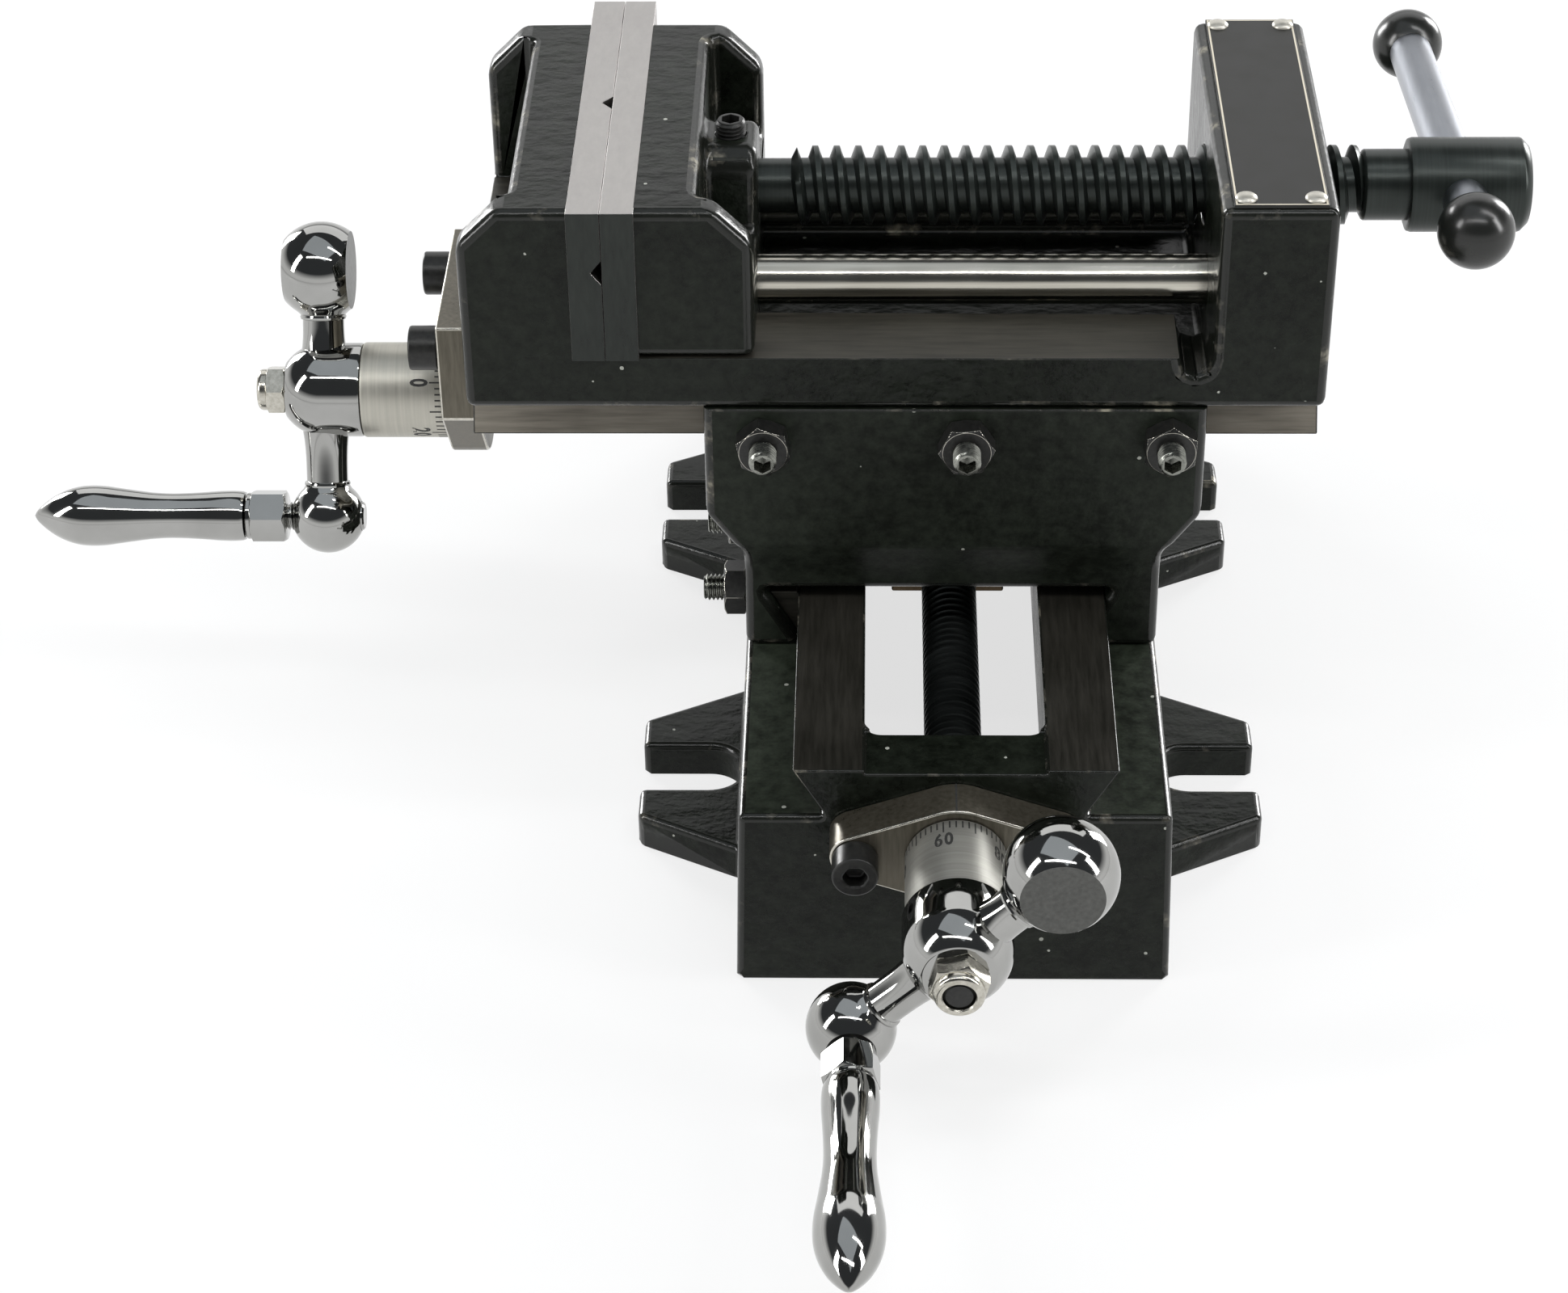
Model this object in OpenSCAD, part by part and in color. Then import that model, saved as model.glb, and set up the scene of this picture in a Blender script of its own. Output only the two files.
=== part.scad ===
// Cross slide vise: two dovetail slides with screw feeds under a screw vise.
// Millimetres, +Z up. The origin is the middle of the base on the table.
// +X runs along the upper slide and the vise, +Y along the lower slide.

/* [Base] */
// length of the base along the lower slide
base_len = 257; // [245:1:275]
// width of the deck
base_w = 98; // [96:1:104]
// height of the deck above the table
base_h = 47.7; // [47:0.1:52]
// extra half width of the base at the table
base_draft = 1.2; // [0.6:0.2:2]
// thickness of the base walls
base_wall = 8; // [6:0.5:10]
// thickness of the deck
deck_t = 10; // [8:0.5:11]
// depth of the bar that closes each end of the window
end_bar = 15; // [13:0.5:18]
// width of the window between the rails
window_w = 41; // [38:0.5:43]
// corner radius of the window
window_r = 4; // [2:0.5:6]
// thickness and height of the long rib under the middle of the base
rib_t = 9; // [8:0.5:10]
// depth of an end bar below the rails
bar_drop = 1; // [0.6:0.1:2]

/* [Mounting lugs] */
// reach of a lug beyond the deck
lug_reach = 26.6; // [22:0.2:30]
// height of a lug
lug_h = 9; // [8:0.5:11]
// width of a lug at the wall
lug_root = 67; // [60:1:72]
// width of a lug at its tip
lug_tip = 39; // [36:0.5:44]
// width of the open slot
slot_w = 17; // [14:0.5:18]
// distance between the slots of one side
slot_pitch = 119; // [112:1:128]

/* [Slides] */
// width of a dovetail at its wide face
dove_w = 73.2; // [72:0.2:75]
// height of a dovetail
dove_h = 13.2; // [12.4:0.2:13.6]
// undercut of a dovetail
dove_under = 7.6; // [6.8:0.2:8]
// clearance of the sliding faces
slide_fit = 0.1; // [0.05:0.01:0.15]
// width of the upper gib
x_gib_t = 4.4; // [4:0.2:4.8]
// width of the lower gib
y_gib_t = 6.6; // [6:0.2:7]
// setback of each gib end
gib_inset = 4; // [2:0.5:6]

/* [Saddle] */
// width of the saddle
saddle_w = 115; // [112:1:120]
// length of the saddle
saddle_len = 93.8; // [92:0.2:98]
// height of the saddle above the deck
saddle_h = 69.3; // [69:0.1:73]
// place of the saddle along the base
saddle_at = -19.6; // [-30:0.2:0]
// setback of the saddle's lower block
saddle_step = 4; // [3:0.5:5]
// clearance above the lower dovetail
bridge_gap = 3.3; // [2:0.1:4]

/* [Adjusting screws] */
// diameter of a gib screw
stud_d = 6.4; // [6:0.1:7]
// width across flats of a gib lock nut
stud_af = 11.4; // [11:0.1:12.4]
// height of a gib lock nut
stud_nut_h = 5.5; // [5:0.1:6.5]
// length of a gib screw outside the wall
stud_out = 10.5; // [9:0.5:12]
// spacing of the upper gib screws
x_stud_pitch = 46.5; // [40:0.5:47]
// spacing of the lower gib screws
y_stud_pitch = 28.9; // [26:0.1:32]

/* [Vise body] */
// length of the body along the vise
body_len = 195.8; // [192:0.2:206]
// place of the body's middle over the saddle
body_at = -13.8; // [-18:0.2:-10]
// height of the bed
bed_h = 13.4; // [13:0.2:15]
// width of each bed way
way_w = 20; // [18:0.5:21]
// depth of the channel between the ways
channel_d = 8.5; // [7:0.5:9]
// thickness of the end block
block_t = 26.1; // [24:0.1:29]
// width of the relief groove
relief_w = 7.4; // [6:0.2:8]
// depth of the relief groove
relief_d = 5; // [4.5:0.1:6]

/* [Jaws] */
// height of the jaws above the bed
jaw_h = 37.8; // [37:0.2:42]
// depth of the fixed jaw casting
fixed_t = 25; // [24:0.2:27]
// depth of the moving jaw casting
moving_t = 26.2; // [25:0.2:27]
// thickness of a jaw's middle wall
jaw_wall = 13.6; // [12.5:0.1:15]
// thickness of a jaw's end wing
wing_t = 8; // [7:0.5:9]
// chamfer of a jaw's outer top corner
jaw_chamfer = 9; // [7:0.5:10]
// thickness of a jaw plate
plate_t = 7.5; // [7:0.1:8.5]
// length of a jaw plate
plate_len = 105.8; // [104:0.2:110]
// gap between the closed plates
jaw_gap = 0.1; // [0.05:0.01:0.3]
// depth of the work grooves in the fixed plate
vee_d = 2.4; // [1.5:0.1:3]
// spacing of the plate screws
plate_pitch = 68; // [66:0.5:72]

/* [Vise screw] */
// outside diameter of the thread
vise_screw_d = 18.4; // [17.4:0.2:19.4]
// height of the screw above the bed
vise_screw_h = 18.8; // [18:0.2:20]
// diameter of the screw's nose
nose_d = 12.6; // [12:0.1:13]
// diameter of the head
head_d = 21.9; // [21:0.1:24]
// length of the head
head_len = 28; // [26:0.5:31]
// diameter of the handle bar
bar_d = 10.5; // [9.5:0.1:11]
// distance between the handle's ball centres
bar_len = 124; // [115:1:130]
// distance of the near ball from the screw
bar_near = 28; // [27:0.5:35]
// tilt of the handle bar
bar_tilt = 6.9; // [0:0.1:15]
// diameter of a handle ball
ball_d = 17.5; // [16.5:0.1:18.5]
// diameter of a guide rod
rod_d = 11.6; // [11:0.1:12]
// half the spacing of the guide rods
rod_y = 18.9; // [18.5:0.1:19.4]

/* [Cross feeds] */
// outside diameter of a cross screw
cross_d = 13.4; // [12.4:0.1:14]
// diameter of a cross screw's journal
journal_d = 9.9; // [9:0.1:10.5]
// depth of the lower screw under the deck
y_screw_drop = 3.4; // [3:0.1:4]
// depth of the upper screw under its dovetail
x_screw_drop = 10.6; // [10:0.1:11]
// thickness of the front bracket
y_flange_t = 10.5; // [9:0.1:12]
// half height of the front bracket
y_flange_r = 13.4; // [13:0.1:14.5]
// spacing of the front bracket screws
y_flange_pitch = 45; // [42:0.5:48]
// thickness of the side bracket
x_flange_t = 9; // [8:0.1:11]
// width of the side bracket
x_flange_w = 47.4; // [45:0.2:50]
// spacing of the side bracket screws
x_flange_pitch = 35; // [33:0.5:37]
// diameter of a bracket screw
cap_d = 6; // [5:0.1:6.4]

/* [Cranks] */
// diameter of a dial
dial_d = 23; // [22:0.1:24]
// length of a dial
dial_len = 21; // [19:0.1:23]
// distance of the balls from the dial
ball_out = 9.7; // [9:0.1:11]
// diameter of a crank arm
arm_d = 10; // [9:0.1:11]
// diameter of the front crank's hub
y_hub_d = 24.6; // [24:0.1:25.4]
// reach of the front crank's weight ball
y_weight_reach = 30.2; // [29:0.1:32]
// diameter of the front crank's weight ball
y_weight_d = 25.4; // [24:0.2:25.8]
// reach of the front crank's handle ball
y_grip_reach = 32.4; // [31:0.1:34]
// diameter of the front crank's handle ball
y_knob_d = 20.2; // [19:0.1:21]
// length of the front grip
y_grip_len = 60; // [50:0.5:62]
// largest diameter of the front grip
y_grip_d = 15.4; // [14.4:0.1:16.2]
// diameter of the side crank's hub
x_hub_d = 22.8; // [22:0.1:23.6]
// reach of the side crank's weight ball
x_weight_reach = 29; // [28:0.1:31]
// diameter of the side crank's weight ball
x_weight_d = 23.4; // [22:0.2:23.8]
// reach of the side crank's handle ball
x_grip_reach = 31; // [30:0.1:33]
// diameter of the side crank's handle ball
x_knob_d = 18; // [17.4:0.1:19]
// length of the side grip
x_grip_len = 52; // [46:0.5:58]
// largest diameter of the side grip
x_grip_d = 14.8; // [13.8:0.1:15.6]
// turn of the front crank
y_crank_turn = 44.2; // [0:0.1:90]
// turn of the side crank
x_crank_turn = 25; // [0:0.1:90]

/* [Fits] */
// running clearance of a shaft, on the radius
run_fit = 0.05; // [0.02:0.01:0.09]
// clearance of a screw in its thread, on the radius
thread_fit = 0.05; // [0.02:0.01:0.08]
// clearance of a passing hole, on the radius
pass_gap = 0.4; // [0.3:0.05:0.5]
// end gap of a turning piece
end_gap = 0.3; // [0.3:0.05:0.5]

/* [Hidden] */
$fn = 64;
over = 1;
half = 0.5;
hex_sides = 6;
bw = base_w * half;
yb = base_len * half;
rail_z = base_h + dove_h;
dw = dove_w * half;
dr = dw - dove_under;
dove_slope = dove_under / dove_h;
y_axis_z = base_h - y_screw_drop;
slot_at = slot_pitch * half;
slot_inset = 1.6;

sw = saddle_len * half;
sx = saddle_w * half;
saddle_z = base_h + saddle_h;
bridge_z = rail_z + bridge_gap;
wall_z = base_h + 40;
waist_z = base_h + 28.4;
step_hi = base_h + 32.2;
step_lo = base_h + 21.4;
body_z = saddle_z + slide_fit;
dove_z = body_z - dove_h;
pit_z = dove_z - pass_gap;
x_axis_z = dove_z - x_screw_drop;
groove_half = 15;
groove_z = x_axis_z - cross_d * half - 4.6;
nut_half = 15;
nut_wall = 3.8;
y_nut_half = 14;
y_nut_at = 15;
y_nut_z = y_axis_z - cross_d * half - nut_wall;
nut_screw_d = 4;
nut_screw_at = 11;
nut_head_d = 6.4;
nut_head_h = 3;

bed_z = body_z + bed_h;
jaw_z = bed_z + jaw_h;
body_x0 = body_at - body_len * half;
body_x1 = body_at + body_len * half;
block_x0 = body_x1 - block_t;
relief_x0 = block_x0 - relief_w;
relief_z = bed_z - relief_d;
relief_c = relief_w * 0.3;
fixed_x1 = body_x0 + fixed_t;
seam_x = fixed_x1 + plate_t;
moving_x0 = seam_x + jaw_gap + plate_t;
moving_x1 = moving_x0 + moving_t;
channel_y = sw - way_w;
plate_y0 = -sw - over;
plate_mid = plate_y0 + plate_len * half;
plate_screw_z = bed_z + 11;
plate_screw_d = 5;
plate_head_d = 9;
plate_head_h = 4.5;
vee_z = bed_z + 22.7;
vee_half = vee_d * 1.25;
foot_z = bed_z + 12.5;
boss_x1 = moving_x1;
boss_half = 11;
boss_round = 4;
boss_z = bed_z + 32.5;
v_axis_z = bed_z + vise_screw_h;
rod_z = bed_z + 4.6;
rod_x0 = moving_x0 + 6.5;

nose_x0 = moving_x0 + 8.5;
neck_len = 6.8;
thread_x0 = boss_x1 + neck_len;
collar_x0 = body_x1 + 10.5;
collar_d = 16.5;
head_x0 = collar_x0 + 10.2;
head_chamfer = 2;
bar_x = head_x0 + 12.4;
retain_d = 7;
retain_x = (moving_x0 + jaw_wall + boss_x1) * half;
retain_out = 3.6;
retain_groove_d = 9.4;
retain_groove_w = retain_d + over;

cap_head_d = 10.5;
cap_head_h = 7;
cap_socket = 5;
cap_depth = 3.5;
cap_bite = 12;
x_flange_z = x_axis_z + 31.3;
x_flange_low = x_axis_z + 6.3;
x_flange_r = 14.6;
x_cap_z = x_axis_z + 22.4;
y_flange_end = 5.8;
edge_in = 0.05;

stud_z = dove_z + dove_h * 0.36;
x_stud_shift = 2.7;
y_stud_z = base_h + dove_h * 0.57;
stud_socket = 3.2;
stud_depth = 4;
stud_web = 1;
x_dimple = dr + slide_fit + dove_slope * (body_z - stud_z + stud_d * half + pass_gap) + stud_web;
y_dimple = dr + slide_fit + dove_slope * (y_stud_z - base_h + stud_d * half + pass_gap) + stud_web;

hub_z0 = end_gap + dial_len;
ball_z = hub_z0 + ball_out;
hub_z1 = ball_z + 9.2;
hub_cap = 4;
end_stud_d = 7;
end_sink = 0.5;
y_nut_af = 11.8;
x_nut_af = 10.6;
lock_hex_h = 4.7;
lock_h = 6.9;
weight_flat = [7, 8.8];
knob_flat = [8.2, 8.4];
spindle_d = 7;
rivet_out = 0.8;
collar_z0 = ball_z + 10;
spindle_collar = 9.8;
spindle_af = 11.6;
grip_z0 = collar_z0 + spindle_collar + end_gap;
pin_d = 5;
pin_len = 35;
// outline of a grip as shares of its length and of its largest radius
grip_shape = [
    [0, 0.80], [0.05, 0.83], [0.12, 0.82], [0.20, 0.78], [0.28, 0.75], [0.36, 0.74], [0.44, 0.77],
    [0.52, 0.84], [0.60, 0.92], [0.66, 0.98], [0.72, 1], [0.78, 0.97], [0.84, 0.86], [0.90, 0.66],
    [0.95, 0.41], [0.985, 0.18], [1, 0.06]
];

y_screw_len = base_len - end_bar;
x_screw_len = body_len - end_bar + 4;

name_inset = 2.6;
name_end = 1.2;
name_t = 0.8;
rivet_d = 2.6;
rivet_head_d = 5;
rivet_head_h = 1.2;
rivet_bite = 4;
rivet_dx = 7.7;
rivet_dy = sw - 4.4;

// a flat outline in Y and Z pushed along X
module along_x(x0, len) {
    translate([x0, 0, 0]) rotate([90, 0, 90]) linear_extrude(len) children();
}

// a flat outline in X and Z pushed along Y
module along_y(y0, len) {
    translate([0, y0 + len, 0]) rotate([90, 0, 0]) linear_extrude(len) children();
}

module box(lo, hi) {
    translate(lo) cube(hi - lo);
}

module bar_x(x0, x1, y, z, d) {
    translate([x0, y, z]) rotate([0, 90, 0]) cylinder(h = x1 - x0, d = d);
}

module bar_y(y0, y1, x, z, d) {
    translate([x, y1, z]) rotate([90, 0, 0]) cylinder(h = y1 - y0, d = d);
}

module hex(h, af) {
    cylinder(h = h, d = af / cos(30), $fn = hex_sides);
}

// rides the saddle's place on the base
module on_saddle() {
    translate([0, saddle_at, 0]) children();
}

// socket head screw, its head standing on z = 0 and its shank going down
module cap_screw(d, shank, head, head_h, socket, depth) {
    difference() {
        union() {
            cylinder(h = head_h, d = head);
            translate([0, 0, -shank]) cylinder(h = shank + over, d = d);
        }
        translate([0, 0, head_h - depth]) hex(depth + over, socket);
    }
}

// gib screw along z with a socket at its outer end
module stud(inner, outer) {
    difference() {
        translate([0, 0, -inner]) cylinder(h = inner + outer, d = stud_d);
        translate([0, 0, outer - stud_depth]) hex(stud_depth + over, stud_socket);
    }
}

module stud_nut() {
    difference() {
        hex(stud_nut_h, stud_af);
        translate([0, 0, -over]) cylinder(h = stud_nut_h + 2 * over, d = stud_d + 2 * thread_fit);
    }
}

// frames that point out of the saddle's front wall and left wall
module at_x_studs(y) {
    for (i = [-1 : 1])
        on_saddle() translate([x_stud_shift + i * x_stud_pitch, y, stud_z]) rotate([90, 0, 0]) children();
}

module at_y_studs(x) {
    for (i = [-1 : 1])
        on_saddle() translate([x, i * y_stud_pitch, y_stud_z]) rotate([0, -90, 0]) children();
}

// frames of the two cranks, z = 0 on the bracket's outer face
module at_y_crank() {
    translate([0, -yb - y_flange_t, y_axis_z]) rotate([90, 0, 0]) rotate([0, 0, y_crank_turn]) children();
}

module at_x_crank() {
    on_saddle() translate([body_x0 - x_flange_t, 0, x_axis_z])
        rotate([0, -90, 0]) rotate([0, 0, x_crank_turn]) children();
}

// base
module lug() {
    slot_end = slot_inset + slot_w * half;
    linear_extrude(lug_h) difference() {
        polygon([
            [-base_wall * half, -lug_root * half], [0, -lug_root * half], [lug_reach, -lug_tip * half],
            [lug_reach, lug_tip * half], [0, lug_root * half], [-base_wall * half, lug_root * half]
        ]);
        translate([slot_end, 0]) circle(d = slot_w);
        translate([slot_end, -slot_w * half]) square([lug_reach, slot_w]);
    }
}

module window_shape() {
    w = window_w * half;
    l = yb - end_bar;
    for (x = [-1, 1], y = [-1, 1])
        translate([x * (w - window_r), y * (l - window_r)]) circle(r = window_r);
    translate([-w, -l + window_r]) square([2 * w, 2 * (l - window_r)]);
    translate([-w + window_r, -l]) square([2 * (w - window_r), 2 * l]);
}

module base_casting() color("dimgray") difference() {
    union() {
        along_y(-yb, base_len)
            polygon([[-bw - base_draft, 0], [bw + base_draft, 0], [bw, base_h], [-bw, base_h]]);
        along_y(-yb, base_len)
            polygon([
                [-dr, base_h - over], [dr, base_h - over], [dr, base_h],
                [dw, rail_z], [-dw, rail_z], [-dr, base_h]
            ]);
        for (y = [-slot_at, slot_at]) {
            translate([bw, y, 0]) lug();
            translate([-bw, y, 0]) rotate([0, 0, 180]) lug();
        }
    }
    translate([0, 0, base_h - deck_t - over]) linear_extrude(deck_t + dove_h + 2 * over) window_shape();
    for (s = [0, 180])
        rotate([0, 0, s]) {
            box([rib_t * half, -yb + base_wall, -over], [bw - base_wall, yb - base_wall, base_h - deck_t]);
            box([-window_w * half, yb - end_bar - over, rail_z - bar_drop],
                [window_w * half, yb + over, rail_z + over]);
        }
    box([-rib_t, -yb + base_wall, rib_t], [rib_t, yb - base_wall, base_h - deck_t]);
    bar_y(-yb - over, -yb + end_bar + over, 0, y_axis_z, cross_d + 2 * pass_gap);
    for (s = [-1, 1])
        bar_y(-yb - over, -yb + cap_bite + half, s * y_flange_pitch * half, y_axis_z, cap_d + 2 * thread_fit);
}

module y_bracket() color("darkkhaki") difference() {
    d = y_flange_pitch * half;
    a = asin((y_flange_r - y_flange_end) / d);
    tr = (y_flange_r - edge_in) * [sin(a), cos(a)];
    te = [d, 0] + (y_flange_end - edge_in) * [sin(a), cos(a)];
    union() {
        bar_y(-yb - y_flange_t, -yb, 0, y_axis_z, 2 * y_flange_r);
        for (s = [-1, 1]) bar_y(-yb - y_flange_t, -yb, s * d, y_axis_z, 2 * y_flange_end);
        translate([0, 0, y_axis_z]) along_y(-yb - y_flange_t, y_flange_t)
            polygon([
                tr, te, [te.x, -te.y], [tr.x, -tr.y], [-tr.x, -tr.y], [-te.x, -te.y], [-te.x, te.y], [-tr.x, tr.y]
            ]);
    }
    bar_y(-yb - y_flange_t - over, -yb + over, 0, y_axis_z, journal_d + 2 * run_fit);
    for (s = [-1, 1]) bar_y(-yb - y_flange_t - over, -yb + over, s * d, y_axis_z, cap_d + 2 * pass_gap);
}

module y_bracket_screws() color("black")
    for (s = [-1, 1])
        translate([s * y_flange_pitch * half, -yb - y_flange_t, y_axis_z]) rotate([90, 0, 0])
            cap_screw(cap_d, y_flange_t + cap_bite, cap_head_d, cap_head_h, cap_socket, cap_depth);

// saddle and its sliding parts
module saddle_casting() color("dimgray") on_saddle() difference() {
    intersection() {
        along_y(-sw - over, saddle_len + 2 * over)
            polygon([
                [-bw, base_h + slide_fit], [bw, base_h + slide_fit], [bw, waist_z], [sx, wall_z],
                [sx, saddle_z], [-sx, saddle_z], [-sx, wall_z], [-bw, waist_z]
            ]);
        along_x(-sx - over, saddle_w + 2 * over)
            polygon([
                [-sw + saddle_step, base_h], [sw - saddle_step, base_h], [sw - saddle_step, step_lo],
                [sw, step_hi], [sw, saddle_z + over], [-sw, saddle_z + over], [-sw, step_hi],
                [-sw + saddle_step, step_lo]
            ]);
    }
    along_y(-sw - over, saddle_len + 2 * over) y_slot();
    along_x(-sx - over, saddle_w + 2 * over) x_slot();
    box([-sx - over, -groove_half, groove_z], [sx + over, groove_half, dove_z]);
    for (s = [-1, 1]) {
        translate([0, s * nut_screw_at, groove_z - 2 * nut_wall])
            cylinder(h = 2 * nut_wall + over, d = nut_screw_d + 2 * thread_fit);
        translate([s * nut_screw_at, y_nut_at, bridge_z - over])
            cylinder(h = 2 * nut_wall + over, d = nut_screw_d + 2 * thread_fit);
    }
    translate([0, -saddle_at, 0]) {
        at_x_studs(-sw) translate([0, 0, -way_w]) cylinder(h = way_w + over, d = stud_d + 2 * thread_fit);
        at_y_studs(-bw) translate([0, 0, -way_w]) cylinder(h = way_w + over, d = stud_d + 2 * thread_fit);
    }
}

// lower slot, with room for the gib on the left
module y_slot() {
    low = base_h - over;
    wide = dove_slope * (bridge_z - low);
    right = dr + slide_fit - dove_slope * over;
    left = right + y_gib_t;
    polygon([[-left, low], [right, low], [right + wide, bridge_z], [-left - wide, bridge_z]]);
}

// upper slot, with room for the gib in front
module x_slot() {
    high = saddle_z + over;
    wide = dove_slope * (high - pit_z);
    back = dr + slide_fit - dove_slope * (high - body_z);
    front = back + x_gib_t;
    polygon([[-front, high], [back, high], [back + wide, pit_z], [-front - wide, pit_z]]);
}

module y_gib() color("gray") difference() {
    low = base_h + end_gap;
    high = rail_z;
    a = dr + slide_fit + dove_slope * end_gap;
    b = a + dove_slope * (high - low);
    on_saddle() along_y(-sw + saddle_step + gib_inset, saddle_len - 2 * (saddle_step + gib_inset))
        polygon([[-a, low], [-b, high], [-b - y_gib_t, high], [-a - y_gib_t, low]]);
    at_y_studs(-y_dimple) cylinder(h = way_w, d = stud_d + 2 * pass_gap);
}

module x_gib() color("gray") difference() {
    low = dove_z;
    high = saddle_z - end_gap;
    a = dr + slide_fit + dove_slope * (body_z - high);
    b = a + dove_slope * (high - low);
    on_saddle() along_x(-sx + gib_inset, saddle_w - 2 * gib_inset)
        polygon([[-a, high], [-b, low], [-b - x_gib_t, low], [-a - x_gib_t, high]]);
    at_x_studs(-x_dimple) cylinder(h = way_w, d = stud_d + 2 * pass_gap);
}

module x_gib_screws() color("black") at_x_studs(-sw) stud(sw - x_dimple - run_fit, stud_out);

module x_gib_nuts() color("silver") at_x_studs(-sw) stud_nut();

module y_gib_screws() color("black") at_y_studs(-bw) stud(bw - y_dimple - run_fit, stud_out);

module y_gib_nuts() color("silver") at_y_studs(-bw) stud_nut();

module y_feed_nut() color("peru") on_saddle() translate([0, y_nut_at, 0]) difference() {
    box([-y_nut_half, -nut_half, y_nut_z], [y_nut_half, nut_half, bridge_z]);
    bar_y(-nut_half - over, nut_half + over, 0, y_axis_z, cross_d + 2 * run_fit);
    for (s = [-1, 1])
        translate([s * nut_screw_at, 0, y_nut_z - over])
            cylinder(h = bridge_z - y_nut_z + 2 * over, d = nut_screw_d + 2 * thread_fit);
}

module y_nut_screws() color("black") on_saddle() translate([0, y_nut_at, 0])
    for (s = [-1, 1])
        translate([s * nut_screw_at, 0, y_nut_z]) rotate([180, 0, 0])
            cap_screw(nut_screw_d, bridge_z - y_nut_z + nut_wall, nut_head_d, nut_head_h, nut_wall * half, over);

module x_feed_nut() color("peru") on_saddle() difference() {
    box([-nut_half, -groove_half + slide_fit, groove_z], [nut_half, groove_half - slide_fit, pit_z]);
    bar_x(-nut_half - over, nut_half + over, 0, x_axis_z, cross_d + 2 * run_fit);
    for (s = [-1, 1]) {
        translate([0, s * nut_screw_at, groove_z - over])
            cylinder(h = pit_z - groove_z + 2 * over, d = nut_screw_d + 2 * thread_fit);
        translate([0, s * nut_screw_at, pit_z - nut_head_h - half])
            cylinder(h = nut_head_h + over, d = nut_head_d + 2 * thread_fit);
    }
}

module x_nut_screws() color("black") on_saddle()
    for (s = [-1, 1])
        translate([0, s * nut_screw_at, pit_z - nut_head_h - half])
            cap_screw(nut_screw_d, pit_z - nut_head_h - half - groove_z + nut_wall,
                nut_head_d, nut_head_h, nut_wall * half, over);

// vise body
module jaw_wing(x_in, x_out, way) {
    along_y(-sw, wing_t)
        polygon([
            [x_in, bed_z - over], [x_out, bed_z - over], [x_out, jaw_z - jaw_chamfer],
            [x_out + way * jaw_chamfer, jaw_z], [x_in, jaw_z]
        ]);
}

module plate_holes(x0, x1, d) {
    for (s = [-1, 1]) bar_x(x0, x1, plate_mid + s * plate_pitch * half, plate_screw_z, d);
}

module body_casting() color("dimgray") on_saddle() difference() {
    union() {
        box([body_x0, -sw, body_z], [body_x1, sw, bed_z]);
        along_x(body_x0, body_len)
            polygon([
                [-dr, body_z + over], [-dr, body_z], [-dw, dove_z], [dw, dove_z], [dr, body_z], [dr, body_z + over]
            ]);
        box([fixed_x1 - jaw_wall, -sw, bed_z - over], [fixed_x1, sw, jaw_z]);
        jaw_wing(fixed_x1, body_x0, 1);
        mirror([0, 1, 0]) jaw_wing(fixed_x1, body_x0, 1);
        box([block_x0, -sw, body_z], [body_x1, sw, jaw_z]);
    }
    box([fixed_x1, -channel_y, bed_z - channel_d], [block_x0, channel_y, bed_z + over]);
    along_y(-sw - over, saddle_len + 2 * over)
        polygon([
            [relief_x0, bed_z + over], [relief_x0, relief_z + relief_c], [relief_x0 + relief_c, relief_z],
            [block_x0 - relief_c, relief_z], [block_x0, relief_z + relief_c], [block_x0, bed_z + over]
        ]);
    bar_x(block_x0 - over, body_x1 + over, 0, v_axis_z, vise_screw_d + 2 * run_fit);
    for (s = [-1, 1]) {
        bar_x(block_x0 - over, body_x1 + over, s * rod_y, rod_z, rod_d + 2 * run_fit);
        bar_x(body_x0 - over, body_x0 + cap_bite + half, s * x_flange_pitch * half, x_cap_z,
            cap_d + 2 * thread_fit);
    }
    plate_holes(fixed_x1 - jaw_wall + over, fixed_x1 + over, plate_screw_d + 2 * thread_fit);
    at_rivets() translate([0, 0, -rivet_bite - half]) cylinder(h = rivet_bite + over, d = rivet_d + 2 * thread_fit);
}

module plate_blank(x0) {
    box([x0, plate_y0, bed_z], [x0 + plate_t, plate_y0 + plate_len, jaw_z]);
}

module fixed_jaw_plate() color("silver") on_saddle() difference() {
    plate_blank(fixed_x1);
    along_y(plate_y0 - over, plate_len + 2 * over)
        polygon([[seam_x - vee_d, vee_z], [seam_x, vee_z - vee_half], [seam_x + vee_d, vee_z],
            [seam_x, vee_z + vee_half]]);
    translate([0, 0, bed_z - over]) linear_extrude(jaw_h + 2 * over)
        polygon([[seam_x - vee_d, plate_mid], [seam_x, plate_mid - vee_half], [seam_x + vee_d, plate_mid],
            [seam_x, plate_mid + vee_half]]);
    plate_holes(fixed_x1 - over, seam_x + over, plate_screw_d + 2 * thread_fit);
    plate_holes(seam_x - plate_head_h - half, seam_x + over, plate_head_d + 2 * thread_fit);
}

// a plate screw with its head to +X of x, its shank going to -X
module plate_screw(x, shank) {
    rotate([0, 90, 0]) translate([0, 0, x])
        cap_screw(plate_screw_d, shank, plate_head_d, plate_head_h, plate_head_d * half, plate_head_h * half);
}

module fixed_plate_screws() color("black") on_saddle()
    for (s = [-1, 1])
        translate([0, plate_mid + s * plate_pitch * half, plate_screw_z])
            plate_screw(seam_x - plate_head_h - half, plate_t - plate_head_h - half + jaw_wall - 2 * over);

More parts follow.
